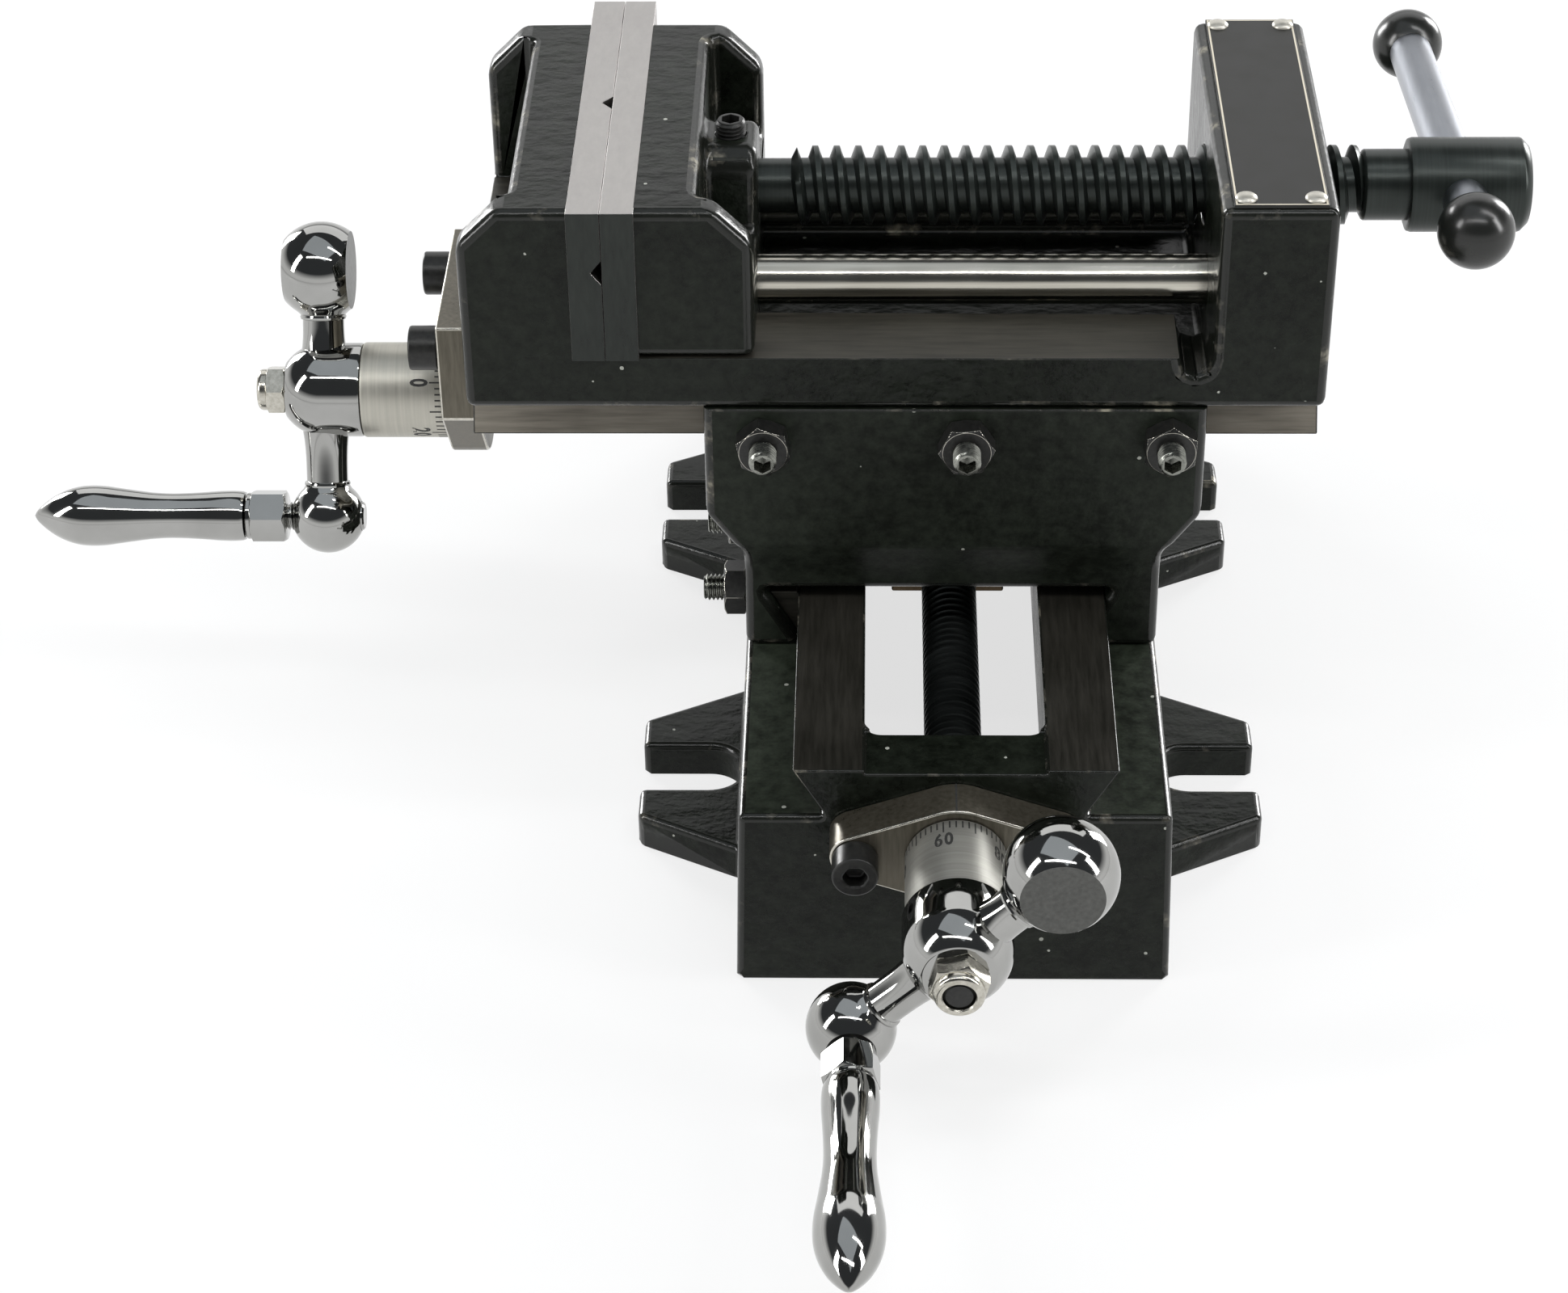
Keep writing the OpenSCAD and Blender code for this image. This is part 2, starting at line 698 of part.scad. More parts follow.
module x_bracket() color("darkkhaki") on_saddle() difference() {
    w = x_flange_w * half;
    low = x_flange_low - x_axis_z;
    reach = sqrt(w * w + low * low);
    a = atan2(low, w) - acos(x_flange_r / reach);
    t = (x_flange_r - edge_in) * [cos(a), sin(a)];
    union() {
        bar_x(body_x0 - x_flange_t, body_x0, 0, x_axis_z, 2 * x_flange_r);
        translate([0, 0, x_axis_z]) along_x(body_x0 - x_flange_t, x_flange_t)
            polygon([
                [-w, x_flange_z - x_axis_z], [w, x_flange_z - x_axis_z], [w, low], t, [-t.x, t.y], [-w, low]
            ]);
    }
    bar_x(body_x0 - x_flange_t - over, body_x0 + over, 0, x_axis_z, journal_d + 2 * run_fit);
    for (s = [-1, 1])
        bar_x(body_x0 - x_flange_t - over, body_x0 + over, s * x_flange_pitch * half, x_cap_z,
            cap_d + 2 * pass_gap);
}

module x_bracket_screws() color("black") on_saddle()
    for (s = [-1, 1])
        translate([body_x0 - x_flange_t, s * x_flange_pitch * half, x_cap_z]) rotate([0, -90, 0])
            cap_screw(cap_d, x_flange_t + cap_bite, cap_head_d, cap_head_h, cap_socket, cap_depth);

module at_rivets() {
    for (x = [-1, 1], y = [-1, 1])
        translate([(block_x0 + body_x1) * half + x * rivet_dx, y * rivet_dy, jaw_z]) children();
}

module name_plate() color("black") on_saddle() difference() {
    box([block_x0 + name_inset, -sw + name_end, jaw_z],
        [body_x1 - name_inset, sw - name_end, jaw_z + name_t]);
    at_rivets() translate([0, 0, -over]) cylinder(h = name_t + 2 * over, d = rivet_d + 2 * thread_fit);
}

module name_plate_rivets() color("silver") on_saddle() at_rivets() {
    translate([0, 0, name_t]) cylinder(h = rivet_head_h, d1 = rivet_head_d, d2 = rivet_d);
    translate([0, 0, -rivet_bite]) cylinder(h = rivet_bite + name_t + half, d = rivet_d);
}

// moving jaw
module boss_shape() {
    polygon([
        [-boss_half, bed_z + over], [boss_half, bed_z + over], [boss_half, boss_z - boss_round],
        [boss_half - boss_round, boss_z], [boss_round - boss_half, boss_z], [-boss_half, boss_z - boss_round]
    ]);
}

module moving_jaw_casting() color("dimgray") on_saddle() difference() {
    union() {
        box([moving_x0, -sw, bed_z + slide_fit], [moving_x0 + jaw_wall, sw, jaw_z]);
        box([moving_x0, -sw, bed_z + slide_fit], [moving_x1, sw, foot_z]);
        intersection() {
            union() {
                jaw_wing(moving_x0, moving_x1, -1);
                mirror([0, 1, 0]) jaw_wing(moving_x0, moving_x1, -1);
            }
            box([moving_x0, -sw - over, bed_z + slide_fit], [moving_x1 + over, sw + over, jaw_z + over]);
        }
        along_x(moving_x0 + over, boss_x1 - moving_x0 - over) boss_shape();
        box([moving_x0, slide_fit - channel_y, bed_z - channel_d + pass_gap],
            [moving_x1, channel_y - slide_fit, foot_z - over]);
    }
    bar_x(nose_x0 - end_gap, boss_x1 + over, 0, v_axis_z, nose_d + 2 * run_fit);
    for (s = [-1, 1]) bar_x(rod_x0 - half, moving_x1 + over, s * rod_y, rod_z, rod_d + 2 * thread_fit);
    translate([retain_x, 0, v_axis_z]) cylinder(h = jaw_h, d = retain_d + 2 * thread_fit);
    plate_holes(moving_x0 - over, moving_x0 + jaw_wall - over, plate_screw_d + 2 * thread_fit);
}

module moving_jaw_plate() color("silver") on_saddle() difference() {
    plate_blank(seam_x + jaw_gap);
    plate_holes(seam_x, moving_x0 + over, plate_screw_d + 2 * thread_fit);
    plate_holes(seam_x, seam_x + jaw_gap + plate_head_h + half, plate_head_d + 2 * thread_fit);
}

module moving_plate_screws() color("black") on_saddle()
    for (s = [-1, 1])
        translate([seam_x + jaw_gap, plate_mid + s * plate_pitch * half, plate_screw_z]) rotate([0, 0, 180])
            plate_screw(-plate_head_h - half, plate_t - plate_head_h - half + jaw_wall - 2 * over);

module guide_rods() color("silver") on_saddle()
    for (s = [-1, 1]) bar_x(rod_x0, body_x1 - half, s * rod_y, rod_z, rod_d);

module screw_retainer() color("black") on_saddle() difference() {
    low = v_axis_z + retain_groove_d * half + end_gap;
    translate([retain_x, 0, low]) cylinder(h = boss_z + retain_out - low, d = retain_d);
    translate([retain_x, 0, boss_z]) hex(retain_out + over, cap_socket - over);
}

// vise screw and its handle
module vise_screw() color("black") on_saddle() difference() {
    union() {
        bar_x(nose_x0, thread_x0 + over, 0, v_axis_z, nose_d);
        bar_x(thread_x0, collar_x0, 0, v_axis_z, vise_screw_d);
        bar_x(collar_x0 - over, head_x0 + over, 0, v_axis_z, collar_d);
        bar_x(head_x0, head_x0 + head_len - head_chamfer, 0, v_axis_z, head_d);
        translate([head_x0 + head_len - head_chamfer, 0, v_axis_z]) rotate([0, 90, 0])
            cylinder(h = head_chamfer, d1 = head_d, d2 = head_d - 2 * head_chamfer);
    }
    difference() {
        bar_x(retain_x - retain_groove_w * half, retain_x + retain_groove_w * half, 0, v_axis_z, nose_d + over);
        bar_x(retain_x - retain_groove_w, retain_x + retain_groove_w, 0, v_axis_z, retain_groove_d);
    }
    at_bar() translate([0, 0, -head_d]) cylinder(h = 2 * head_d, d = bar_d + 2 * run_fit);
}

// frame of the handle bar, z along the bar and away from the near ball
module at_bar() {
    translate([bar_x, 0, v_axis_z]) rotate([-90 - bar_tilt, 0, 0]) children();
}

module tommy_bar() color("silver") on_saddle() at_bar()
    translate([0, 0, -bar_near]) cylinder(h = bar_len, d = bar_d);

module tommy_bar_balls() color("black") on_saddle() at_bar()
    for (s = [0, 1])
        translate([0, 0, s * bar_len - bar_near]) difference() {
            sphere(d = ball_d);
            rotate([s * 180, 0, 0]) cylinder(h = ball_d, d = bar_d + 2 * thread_fit);
        }

// cranks
module lead_screw(flange_t, len) {
    translate([0, 0, -len]) cylinder(h = len - flange_t - end_gap, d = cross_d);
    translate([0, 0, -flange_t - end_gap - over])
        cylinder(h = flange_t + end_gap + over + hub_z1 - hub_cap - run_fit, d = journal_d);
    translate([0, 0, hub_z0]) cylinder(h = hub_z1 + lock_h - end_sink - hub_z0, d = end_stud_d);
}

module dial() {
    difference() {
        translate([0, 0, end_gap]) cylinder(h = dial_len, d = dial_d);
        cylinder(h = hub_z0 + over, d = journal_d + 2 * thread_fit);
    }
}

// a ball cut flat on both sides, flat.x from its middle on the vise's side and flat.y on the other
module flat_ball(x, d, flat) {
    translate([x, 0, ball_z]) intersection() {
        sphere(d = d);
        translate([0, 0, -flat.x]) cylinder(h = flat.x + flat.y, d = d + over);
    }
}

module crank_arm(hub_d, weight_reach, weight_d, grip_reach, knob_d) {
    difference() {
        union() {
            translate([0, 0, hub_z0]) cylinder(h = ball_out, d = hub_d);
            translate([0, 0, ball_z]) sphere(d = hub_d);
            translate([-grip_reach, 0, ball_z]) rotate([0, 90, 0])
                cylinder(h = grip_reach + weight_reach, d = arm_d);
            flat_ball(weight_reach, weight_d, weight_flat);
            flat_ball(-grip_reach, knob_d, knob_flat);
        }
        translate([0, 0, hub_z1]) cylinder(h = hub_d, d = hub_d);
        cylinder(h = hub_z0, d = hub_d + over);
        cylinder(h = hub_z1 - hub_cap, d = journal_d + 2 * thread_fit);
        cylinder(h = hub_z1 + over, d = end_stud_d + 2 * thread_fit);
        translate([-grip_reach, 0, ball_z - knob_d]) cylinder(h = 2 * knob_d, d = spindle_d + 2 * thread_fit);
    }
}

module lock_nut(af) {
    translate([0, 0, hub_z1]) difference() {
        union() {
            hex(lock_hex_h, af);
            cylinder(h = lock_h, d = af - over);
        }
        translate([0, 0, -over]) cylinder(h = lock_h + 2 * over, d = end_stud_d + 2 * thread_fit);
    }
}

module handle_spindle(grip_reach) {
    translate([-grip_reach, 0, 0]) {
        translate([0, 0, ball_z - knob_flat.x - rivet_out])
            cylinder(h = collar_z0 - ball_z + knob_flat.x + rivet_out + over, d = spindle_d);
        translate([0, 0, collar_z0]) hex(spindle_collar, spindle_af);
        translate([0, 0, collar_z0]) cylinder(h = spindle_collar + pin_len, d = pin_d);
    }
}

module handle_grip(grip_reach, grip_len, grip_d) {
    translate([-grip_reach, 0, grip_z0]) difference() {
        rotate_extrude()
            polygon(concat([[0, 0]], [for (p = grip_shape) [p.y * grip_d * half, p.x * grip_len]], [[0, grip_len]]));
        translate([0, 0, -over]) cylinder(h = pin_len + over, d = pin_d + 2 * run_fit);
    }
}

module y_lead_screw() color("gray") at_y_crank() lead_screw(y_flange_t, y_screw_len);

module y_dial() color("gainsboro") at_y_crank() dial();

module y_crank_arm() color("whitesmoke") at_y_crank()
    crank_arm(y_hub_d, y_weight_reach, y_weight_d, y_grip_reach, y_knob_d);

module y_lock_nut() color("silver") at_y_crank() lock_nut(y_nut_af);

module y_handle_spindle() color("whitesmoke") at_y_crank() handle_spindle(y_grip_reach);

module y_handle_grip() color("whitesmoke") at_y_crank()
    handle_grip(y_grip_reach, y_grip_len, y_grip_d);

module x_lead_screw() color("gray") at_x_crank() lead_screw(x_flange_t, x_screw_len);

module x_dial() color("gainsboro") at_x_crank() dial();

module x_crank_arm() color("whitesmoke") at_x_crank()
    crank_arm(x_hub_d, x_weight_reach, x_weight_d, x_grip_reach, x_knob_d);

module x_lock_nut() color("silver") at_x_crank() lock_nut(x_nut_af);

module x_handle_spindle() color("whitesmoke") at_x_crank() handle_spindle(x_grip_reach);

module x_handle_grip() color("whitesmoke") at_x_crank()
    handle_grip(x_grip_reach, x_grip_len, x_grip_d);

base_casting();
y_bracket();
y_bracket_screws();
saddle_casting();
y_gib();
x_gib();
x_gib_screws();
x_gib_nuts();
y_gib_screws();
y_gib_nuts();
y_feed_nut();
y_nut_screws();
x_feed_nut();
x_nut_screws();
body_casting();
fixed_jaw_plate();
fixed_plate_screws();
x_bracket();
x_bracket_screws();
name_plate();
name_plate_rivets();
moving_jaw_casting();
moving_jaw_plate();
moving_plate_screws();
guide_rods();
screw_retainer();
vise_screw();
tommy_bar();
tommy_bar_balls();
y_lead_screw();
y_dial();
y_crank_arm();
y_lock_nut();
y_handle_spindle();
y_handle_grip();
x_lead_screw();
x_dial();
x_crank_arm();
x_lock_nut();
x_handle_spindle();
x_handle_grip();
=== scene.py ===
import math

import bmesh
import bpy
from mathutils import Matrix, Vector


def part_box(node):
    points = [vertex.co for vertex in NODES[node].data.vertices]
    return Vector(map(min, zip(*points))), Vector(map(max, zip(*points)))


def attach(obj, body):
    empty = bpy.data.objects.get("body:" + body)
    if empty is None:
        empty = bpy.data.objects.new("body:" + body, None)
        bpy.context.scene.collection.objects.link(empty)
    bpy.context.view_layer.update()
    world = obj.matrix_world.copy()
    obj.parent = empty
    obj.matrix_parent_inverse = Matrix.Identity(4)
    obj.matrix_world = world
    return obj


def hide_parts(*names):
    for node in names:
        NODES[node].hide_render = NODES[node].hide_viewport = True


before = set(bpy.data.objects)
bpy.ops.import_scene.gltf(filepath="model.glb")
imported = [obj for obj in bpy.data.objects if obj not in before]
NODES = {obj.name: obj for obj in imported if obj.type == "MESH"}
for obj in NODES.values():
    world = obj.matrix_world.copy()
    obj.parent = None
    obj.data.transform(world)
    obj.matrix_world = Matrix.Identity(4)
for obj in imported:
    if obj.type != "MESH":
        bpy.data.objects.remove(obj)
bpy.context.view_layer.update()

MM = 0.001

# ---------------------------------------------------------------- materials


class Finish:
    """A principled material with its node tree, object coordinates and small helpers."""

    def __init__(self, name):
        self.mat = bpy.data.materials.new(name)
        self.mat.use_nodes = True
        self.tree = self.mat.node_tree
        self.shader = self.tree.nodes["Principled BSDF"]
        self.coords = self.add("ShaderNodeTexCoord").outputs["Object"]

    def add(self, kind, **settings):
        node = self.tree.nodes.new(kind)
        for key, value in settings.items():
            setattr(node, key, value)
        return node

    def link(self, out, socket):
        self.tree.links.new(out, socket)

    def set(self, socket, value):
        self.shader.inputs[socket].default_value = value

    def stretched(self, scale):
        """Object coordinates stretched by a factor along each axis."""
        node = self.add("ShaderNodeMapping")
        node.inputs["Scale"].default_value = scale
        self.link(self.coords, node.inputs["Vector"])
        return node.outputs["Vector"]

    def noise(self, scale, detail=3.0, rough=0.55, coords=None):
        node = self.add("ShaderNodeTexNoise")
        node.inputs["Scale"].default_value = scale
        node.inputs["Detail"].default_value = detail
        node.inputs["Roughness"].default_value = rough
        self.link(coords or self.coords, node.inputs["Vector"])
        return node.outputs["Fac"]

    def ramp(self, fac, stops):
        node = self.add("ShaderNodeValToRGB")
        ends = node.color_ramp.elements
        while len(ends) < len(stops):
            ends.new(0.5)
        for end, (place, colour) in zip(ends, stops):
            end.position = place
            end.color = (*colour, 1.0)
        self.link(fac, node.inputs["Fac"])
        return node.outputs["Color"]

    def spread(self, fac, low, high, from_low=0.3, from_high=0.7):
        node = self.add("ShaderNodeMapRange")
        node.inputs["From Min"].default_value = from_low
        node.inputs["From Max"].default_value = from_high
        node.inputs["To Min"].default_value = low
        node.inputs["To Max"].default_value = high
        self.link(fac, node.inputs["Value"])
        return node.outputs["Result"]

    def math(self, operation, a, b=None):
        node = self.add("ShaderNodeMath", operation=operation)
        for socket, value in zip(node.inputs, (a, b)):
            if value is None:
                continue
            if isinstance(value, (int, float)):
                socket.default_value = value
            else:
                self.link(value, socket)
        return node.outputs["Value"]

    def blend(self, fine, coarse):
        """A fine pattern over a coarse one."""
        return self.math("ADD", self.math("MULTIPLY", fine, 0.6), self.math("MULTIPLY", coarse, 0.4))

    def mix(self, fac, a, b):
        """Colour a where fac is 0, colour b where it is 1."""
        node = self.add("ShaderNodeMix", data_type="RGBA")
        self.link(fac, node.inputs["Factor"])
        for socket, value in ((node.inputs[6], a), (node.inputs[7], b)):
            if isinstance(value, tuple):
                socket.default_value = (*value, 1.0)
            else:
                self.link(value, socket)
        return node.outputs[2]

    def bump(self, height, strength, distance):
        node = self.add("ShaderNodeBump")
        node.inputs["Strength"].default_value = strength
        node.inputs["Distance"].default_value = distance
        self.link(height, node.inputs["Height"])
        self.link(node.outputs["Normal"], self.shader.inputs["Normal"])

    def colour(self, out):
        self.link(out, self.shader.inputs["Base Color"])

    def roughness(self, out):
        self.link(out, self.shader.inputs["Roughness"])


PAINT_DEEP, PAINT_PALE = (0.0026, 0.0034, 0.0022), (0.0114, 0.0142, 0.0101)
CHIP_COLOUR, CHIP_SCALE, CHIP_SIZE = (0.36, 0.37, 0.33), 105, 0.075


def cast_paint(name, rough, depth, painted_light=1.0):
    """Mottled black paint on rough iron, with a few small chips in it; its last argument lightens the paint, as
    painted light on faces that lie in shade.
    """
    f = Finish(name)
    f.set("Specular IOR Level", 0.17)
    waves = f.noise(230, 2.5, 0.5, f.stretched((0.62, 1.05, 0.85)))
    fine = f.noise(800, 3.0)
    cloud = f.noise(26, 3.0)
    deep, pale = (tuple(painted_light * c for c in colour) for colour in (PAINT_DEEP, PAINT_PALE))
    black = f.ramp(f.blend(f.noise(300, 4.0, 0.7), cloud), [(0.38, deep), (0.62, pale)])
    cells = f.add("ShaderNodeTexVoronoi")
    cells.inputs["Scale"].default_value = CHIP_SCALE
    f.link(f.coords, cells.inputs["Vector"])
    ragged = f.math("ADD", cells.outputs["Distance"], f.math("MULTIPLY", fine, 0.05))
    f.colour(f.mix(f.math("LESS_THAN", ragged, CHIP_SIZE), black, CHIP_COLOUR))
    f.roughness(f.spread(cloud, *rough))
    f.bump(f.math("ADD", waves, f.math("MULTIPLY", fine, 0.25)), depth, 0.0009)
    return f.mat


def worn_paint():
    """Paint rubbed thin along an edge, with bare iron showing in patches."""
    f = Finish("worn_paint")
    f.set("Specular IOR Level", 0.36)
    patch = f.noise(95, 4.0, 0.65)
    fine = f.noise(600, 3.0)
    black, rubbed, bare = (0.009, 0.010, 0.008), (0.060, 0.057, 0.047), (0.30, 0.28, 0.22)
    f.colour(f.ramp(patch, [(0.56, black), (0.63, rubbed), (0.72, bare)]))
    f.roughness(f.spread(fine, 0.15, 0.25))
    f.link(f.spread(patch, 0.0, 0.5, 0.57, 0.70), f.shader.inputs["Metallic"])
    f.bump(fine, 0.12, 0.0004)
    return f.mat


def metal(f, marks, cloud, dark, light, rough, metallic, bump):
    """Completes a metal from its fine marks and its broad clouds."""
    f.set("Metallic", metallic)
    both = f.blend(marks, cloud)
    f.colour(f.ramp(both, [(0.35, dark), (0.65, light)]))
    f.roughness(f.spread(both, *rough))
    f.bump(marks, *bump)
    return f.mat


def steel(name, dark, light, rough, brush, metallic=1.0, depth=0.06):
    """Metal with fine marks; brush stretches the marks along chosen axes."""
    f = Finish(name)
    marks = f.noise(900, 3.0, 0.6, f.stretched(brush))
    return metal(f, marks, f.noise(45, 3.0), dark, light, rough, metallic, (depth, 0.0004))


def turned(name, dark, light, rough, metallic=1.0):
    """Lathe-turned metal: rings round the local z axis."""
    f = Finish(name)
    rings = f.noise(1400, 2.0, 0.6, f.stretched((0.02, 0.02, 1.0)))
    return metal(f, rings, f.noise(60, 2.0), dark, light, rough, metallic, (0.05, 0.0003))


def chrome():
    f = Finish("chrome")
    f.set("Metallic", 1.0)
    cloud = f.noise(70, 3.0)
    f.colour(f.ramp(cloud, [(0.3, (0.34, 0.34, 0.328)), (0.7, (0.40, 0.40, 0.388))]))
    f.roughness(f.spread(cloud, 0.04, 0.08))
    f.bump(f.noise(90, 1.0), 0.05, 0.0006)
    return f.mat


def gloss_black():
    f = Finish("gloss_black")
    cloud = f.noise(80, 3.0)
    f.colour(f.ramp(cloud, [(0.3, (0.009, 0.010, 0.009)), (0.7, (0.014, 0.015, 0.013))]))
    f.roughness(f.spread(cloud, 0.20, 0.28))
    return f.mat


def ink():
    f = Finish("dial_ink")
    cloud = f.noise(900, 2.0)
    f.colour(f.ramp(cloud, [(0.3, (0.012, 0.012, 0.012)), (0.7, (0.03, 0.03, 0.028))]))
    f.set("Roughness", 0.6)
    return f.mat


BORDER_IN, BORDER_HALF = 0.5 * MM, 0.21 * MM


def plate_enamel(lo, hi):
    """Black enamel with a thin pale line along the plate's edge."""
    f = Finish("plate_enamel")
    parts = f.add("ShaderNodeSeparateXYZ")
    f.link(f.coords, parts.inputs["Vector"])
    mid = (lo + hi) / 2
    half = (hi - lo) / 2

    def inset(axis):
        off = f.math("ABSOLUTE", f.math("SUBTRACT", parts.outputs[axis], mid[axis]))
        return f.math("SUBTRACT", half[axis], off)

    edge = f.math("MINIMUM", inset(0), inset(1))
    line = f.math("LESS_THAN", f.math("ABSOLUTE", f.math("SUBTRACT", edge, BORDER_IN)), BORDER_HALF)
    cloud = f.noise(160, 3.0)
    black = f.ramp(cloud, [(0.3, (0.010, 0.010, 0.009)), (0.7, (0.018, 0.018, 0.016))])
    f.colour(f.mix(line, black, (0.62, 0.57, 0.46)))
    f.set("Specular IOR Level", 0.24)
    f.roughness(f.spread(cloud, 0.28, 0.42))
    return f.mat


PAINT = cast_paint("cast_paint", (0.20, 0.32), 0.5)
# The saddle's paint: rougher, and half again as light as painted light, since the saddle stands in shade under the
# body.
DULL_PAINT_WITH_PAINTED_LIGHT = cast_paint("dull_paint_painted_light", (0.40, 0.52), 0.25, 1.5)
# The deck's paint: three times as light, as painted light on the deck, which lies in shade under the saddle and
# body.
DECK_PAINT_WITH_PAINTED_LIGHT = cast_paint("deck_paint_painted_light", (0.40, 0.52), 0.25, 3.0)
WORN = worn_paint()

# Each steel: dark and light colour, roughness from and to, stretch of its marks, metallic, depth of its marks.
EVEN = (1.0, 1.0, 1.0)
RAIL = steel(
    "scraped_rail", (0.020, 0.019, 0.015), (0.042, 0.039, 0.032), (0.30, 0.45), (1.0, 0.08, 1.0), 0.5)
MACHINED = steel(
    "machined_iron", (0.034, 0.032, 0.026), (0.070, 0.065, 0.053), (0.30, 0.45), (0.08, 1.0, 1.0), 0.55)
STRIP = steel(
    "planed_iron", (0.19, 0.172, 0.142), (0.33, 0.30, 0.25), (0.34, 0.50), (0.06, 1.0, 1.0), 0.35)
BRACKET = steel(
    "bracket_steel", (0.075, 0.068, 0.051), (0.14, 0.127, 0.10), (0.26, 0.40), (1.0, 1.0, 0.1), 0.7)
JAW = steel(
    "jaw_steel", (0.36, 0.345, 0.335), (0.43, 0.415, 0.40), (0.30, 0.42), (0.5, 0.2, 1.0), 1.0, 0.04)
JAW_END = steel(
    "jaw_end", (0.006, 0.0085, 0.0064), (0.015, 0.019, 0.0155), (0.25, 0.40), (1.0, 1.0, 0.2), 0.35)
# The balls' ground flats: satin steel, coloured far darker than steel as a painted reflection of dark surroundings.
FLAT_PAINTED_REFLECTION = steel("ground_flat_painted_reflection", (0.085, 0.086, 0.082), (0.125, 0.126, 0.120), (0.30, 0.42), EVEN, 1.0, 0.02)
CHROME = chrome()
NUT = steel("zinc_nut", (0.40, 0.385, 0.335), (0.60, 0.58, 0.52), (0.14, 0.26), EVEN, 1.0, 0.03)
OXIDE = steel("black_oxide", (0.010, 0.010, 0.010), (0.026, 0.026, 0.024), (0.26, 0.42), EVEN, 0.35)
OILED = turned("oiled_screw", (0.021, 0.026, 0.023), (0.032, 0.038, 0.035), (0.26, 0.38), 0.6)
STUD = steel("stud_steel", (0.15, 0.155, 0.14), (0.32, 0.325, 0.295), (0.20, 0.32), EVEN, 1.0, 0.03)
FEED = turned("feed_screw", (0.062, 0.070, 0.068), (0.125, 0.138, 0.134), (0.25, 0.40), 0.95)
# The same dial metal twice: darker on the y dial as painted shade, and lighter on the x dial as painted light.
DIAL_SHADED_AND_LIT = {
    "y": turned("y_dial_metal_shaded", (0.31, 0.305, 0.28), (0.41, 0.405, 0.37), (0.42, 0.55), 0.85),
    "x": turned("x_dial_metal_lit", (0.42, 0.407, 0.36), (0.52, 0.504, 0.445), (0.36, 0.48), 0.8),
}
ROD = turned("rod_steel", (0.46, 0.44, 0.385), (0.62, 0.60, 0.53), (0.12, 0.22))
BAR = steel("bar_steel", (0.265, 0.28, 0.31), (0.305, 0.32, 0.35), (0.27, 0.31), (1.0, 0.05, 1.0), 1.0, 0.004)
RIVET = steel("rivet_zinc", (0.46, 0.445, 0.395), (0.60, 0.58, 0.52), (0.34, 0.46), EVEN, 0.85, 0.03)
BRONZE = steel("bronze", (0.060, 0.043, 0.026), (0.105, 0.077, 0.048), (0.28, 0.42), EVEN, 1.0)
BALL = gloss_black()
INK = ink()

# ------------------------------------------------------------- mesh helpers


def centre(node):
    lo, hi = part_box(node)
    return (lo + hi) / 2


def shade(mesh, angle=30):
    mesh.shade_smooth()
    mesh.set_sharp_from_angle(angle=math.radians(angle))


def piece(name, bm, place, finish, body, stands_for=(), angle=30):
    """Turns a bmesh in local millimetres into a piece of the object."""
    bmesh.ops.remove_doubles(bm, verts=bm.verts, dist=1e-5)
    bmesh.ops.recalc_face_normals(bm, faces=bm.faces)
    bmesh.ops.scale(bm, vec=(MM, MM, MM), verts=bm.verts)
    mesh = bpy.data.meshes.new(name)
    bm.to_mesh(mesh)
    bm.free()
    shade(mesh, angle)
    obj = bpy.data.objects.new(name, mesh)
    bpy.context.scene.collection.objects.link(obj)
    mesh.materials.append(finish)
    obj.matrix_world = place
    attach(obj, body)
    if stands_for:
        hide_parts(*stands_for)
    return obj


def absorb(bm, part):
    """Moves the mesh of part into bm."""
    mesh = bpy.data.meshes.new("part")
    part.to_mesh(mesh)
    part.free()
    bm.from_mesh(mesh)
    bpy.data.meshes.remove(mesh)


def absorb_at(bm, part, first, place):
    """Moves part, made at place, into bm, whose own frame is first."""
    to = first.inverted() @ place
    move = Matrix.Translation(to.translation / MM) @ to.to_3x3().to_4x4()
    bmesh.ops.transform(part, matrix=move, verts=part.verts)
    absorb(bm, part)


def add_faces(bm, verts, faces):
    made = [bm.verts.new(v) for v in verts]
    for face in faces:
        bm.faces.new([made[i] for i in face])


def round_edges(obj, name, width, angle, segments, finish_index):
    """A bevel on edges sharper than an angle; its faces take the finish of that index."""
    cut = obj.modifiers.new(name, "BEVEL")
    cut.limit_method = "ANGLE"
    cut.angle_limit = math.radians(angle)
    cut.width = width
    cut.segments = segments
    cut.material = finish_index
    return cut


def loft(bm, rows, segs=64, shift=(0, 0, 0), turn=0.0):
    """Rings round z. Each row is (radius or function of the angle, z); a radius of 0 closes the end."""
    rings = []
    for radius, z in rows:
        if radius == 0:
            rings.append([bm.verts.new((shift[0], shift[1], shift[2] + z))])
            continue
        ring = []
        for i in range(segs):
            a = 2 * math.pi * i / segs
            r = radius(a) if callable(radius) else radius
            x, y = r * math.cos(a + turn), r * math.sin(a + turn)
            ring.append(bm.verts.new((shift[0] + x, shift[1] + y, shift[2] + z)))
        rings.append(ring)
    for low, high in zip(rings, rings[1:]):
        if len(low) == 1 and len(high) == 1:
            continue
        for i in range(segs):
            j = (i + 1) % segs
            if len(low) == 1:
                bm.faces.new((low[0], high[i], high[j]))
            elif len(high) == 1:
                bm.faces.new((low[i], low[j], high[0]))
            else:
                bm.faces.new((low[i], low[j], high[j], high[i]))


HEX_CORNER = math.cos(math.pi / 6)


def hexagon(flats):
    """Radius of a hexagon by angle."""
    def radius(a):
        k = (a + math.pi / 6) % (math.pi / 3) - math.pi / 6
        return flats / 2 / math.cos(k)
    return radius


def hex_cut(flats, cone):
    """A hexagon whose corners stop at the radius cone."""
    full = hexagon(flats)
    return lambda a: min(full(a), cone)


HEX_FACE, HEX_SLOPE, HEX_STEPS = 0.97, 0.55, 6


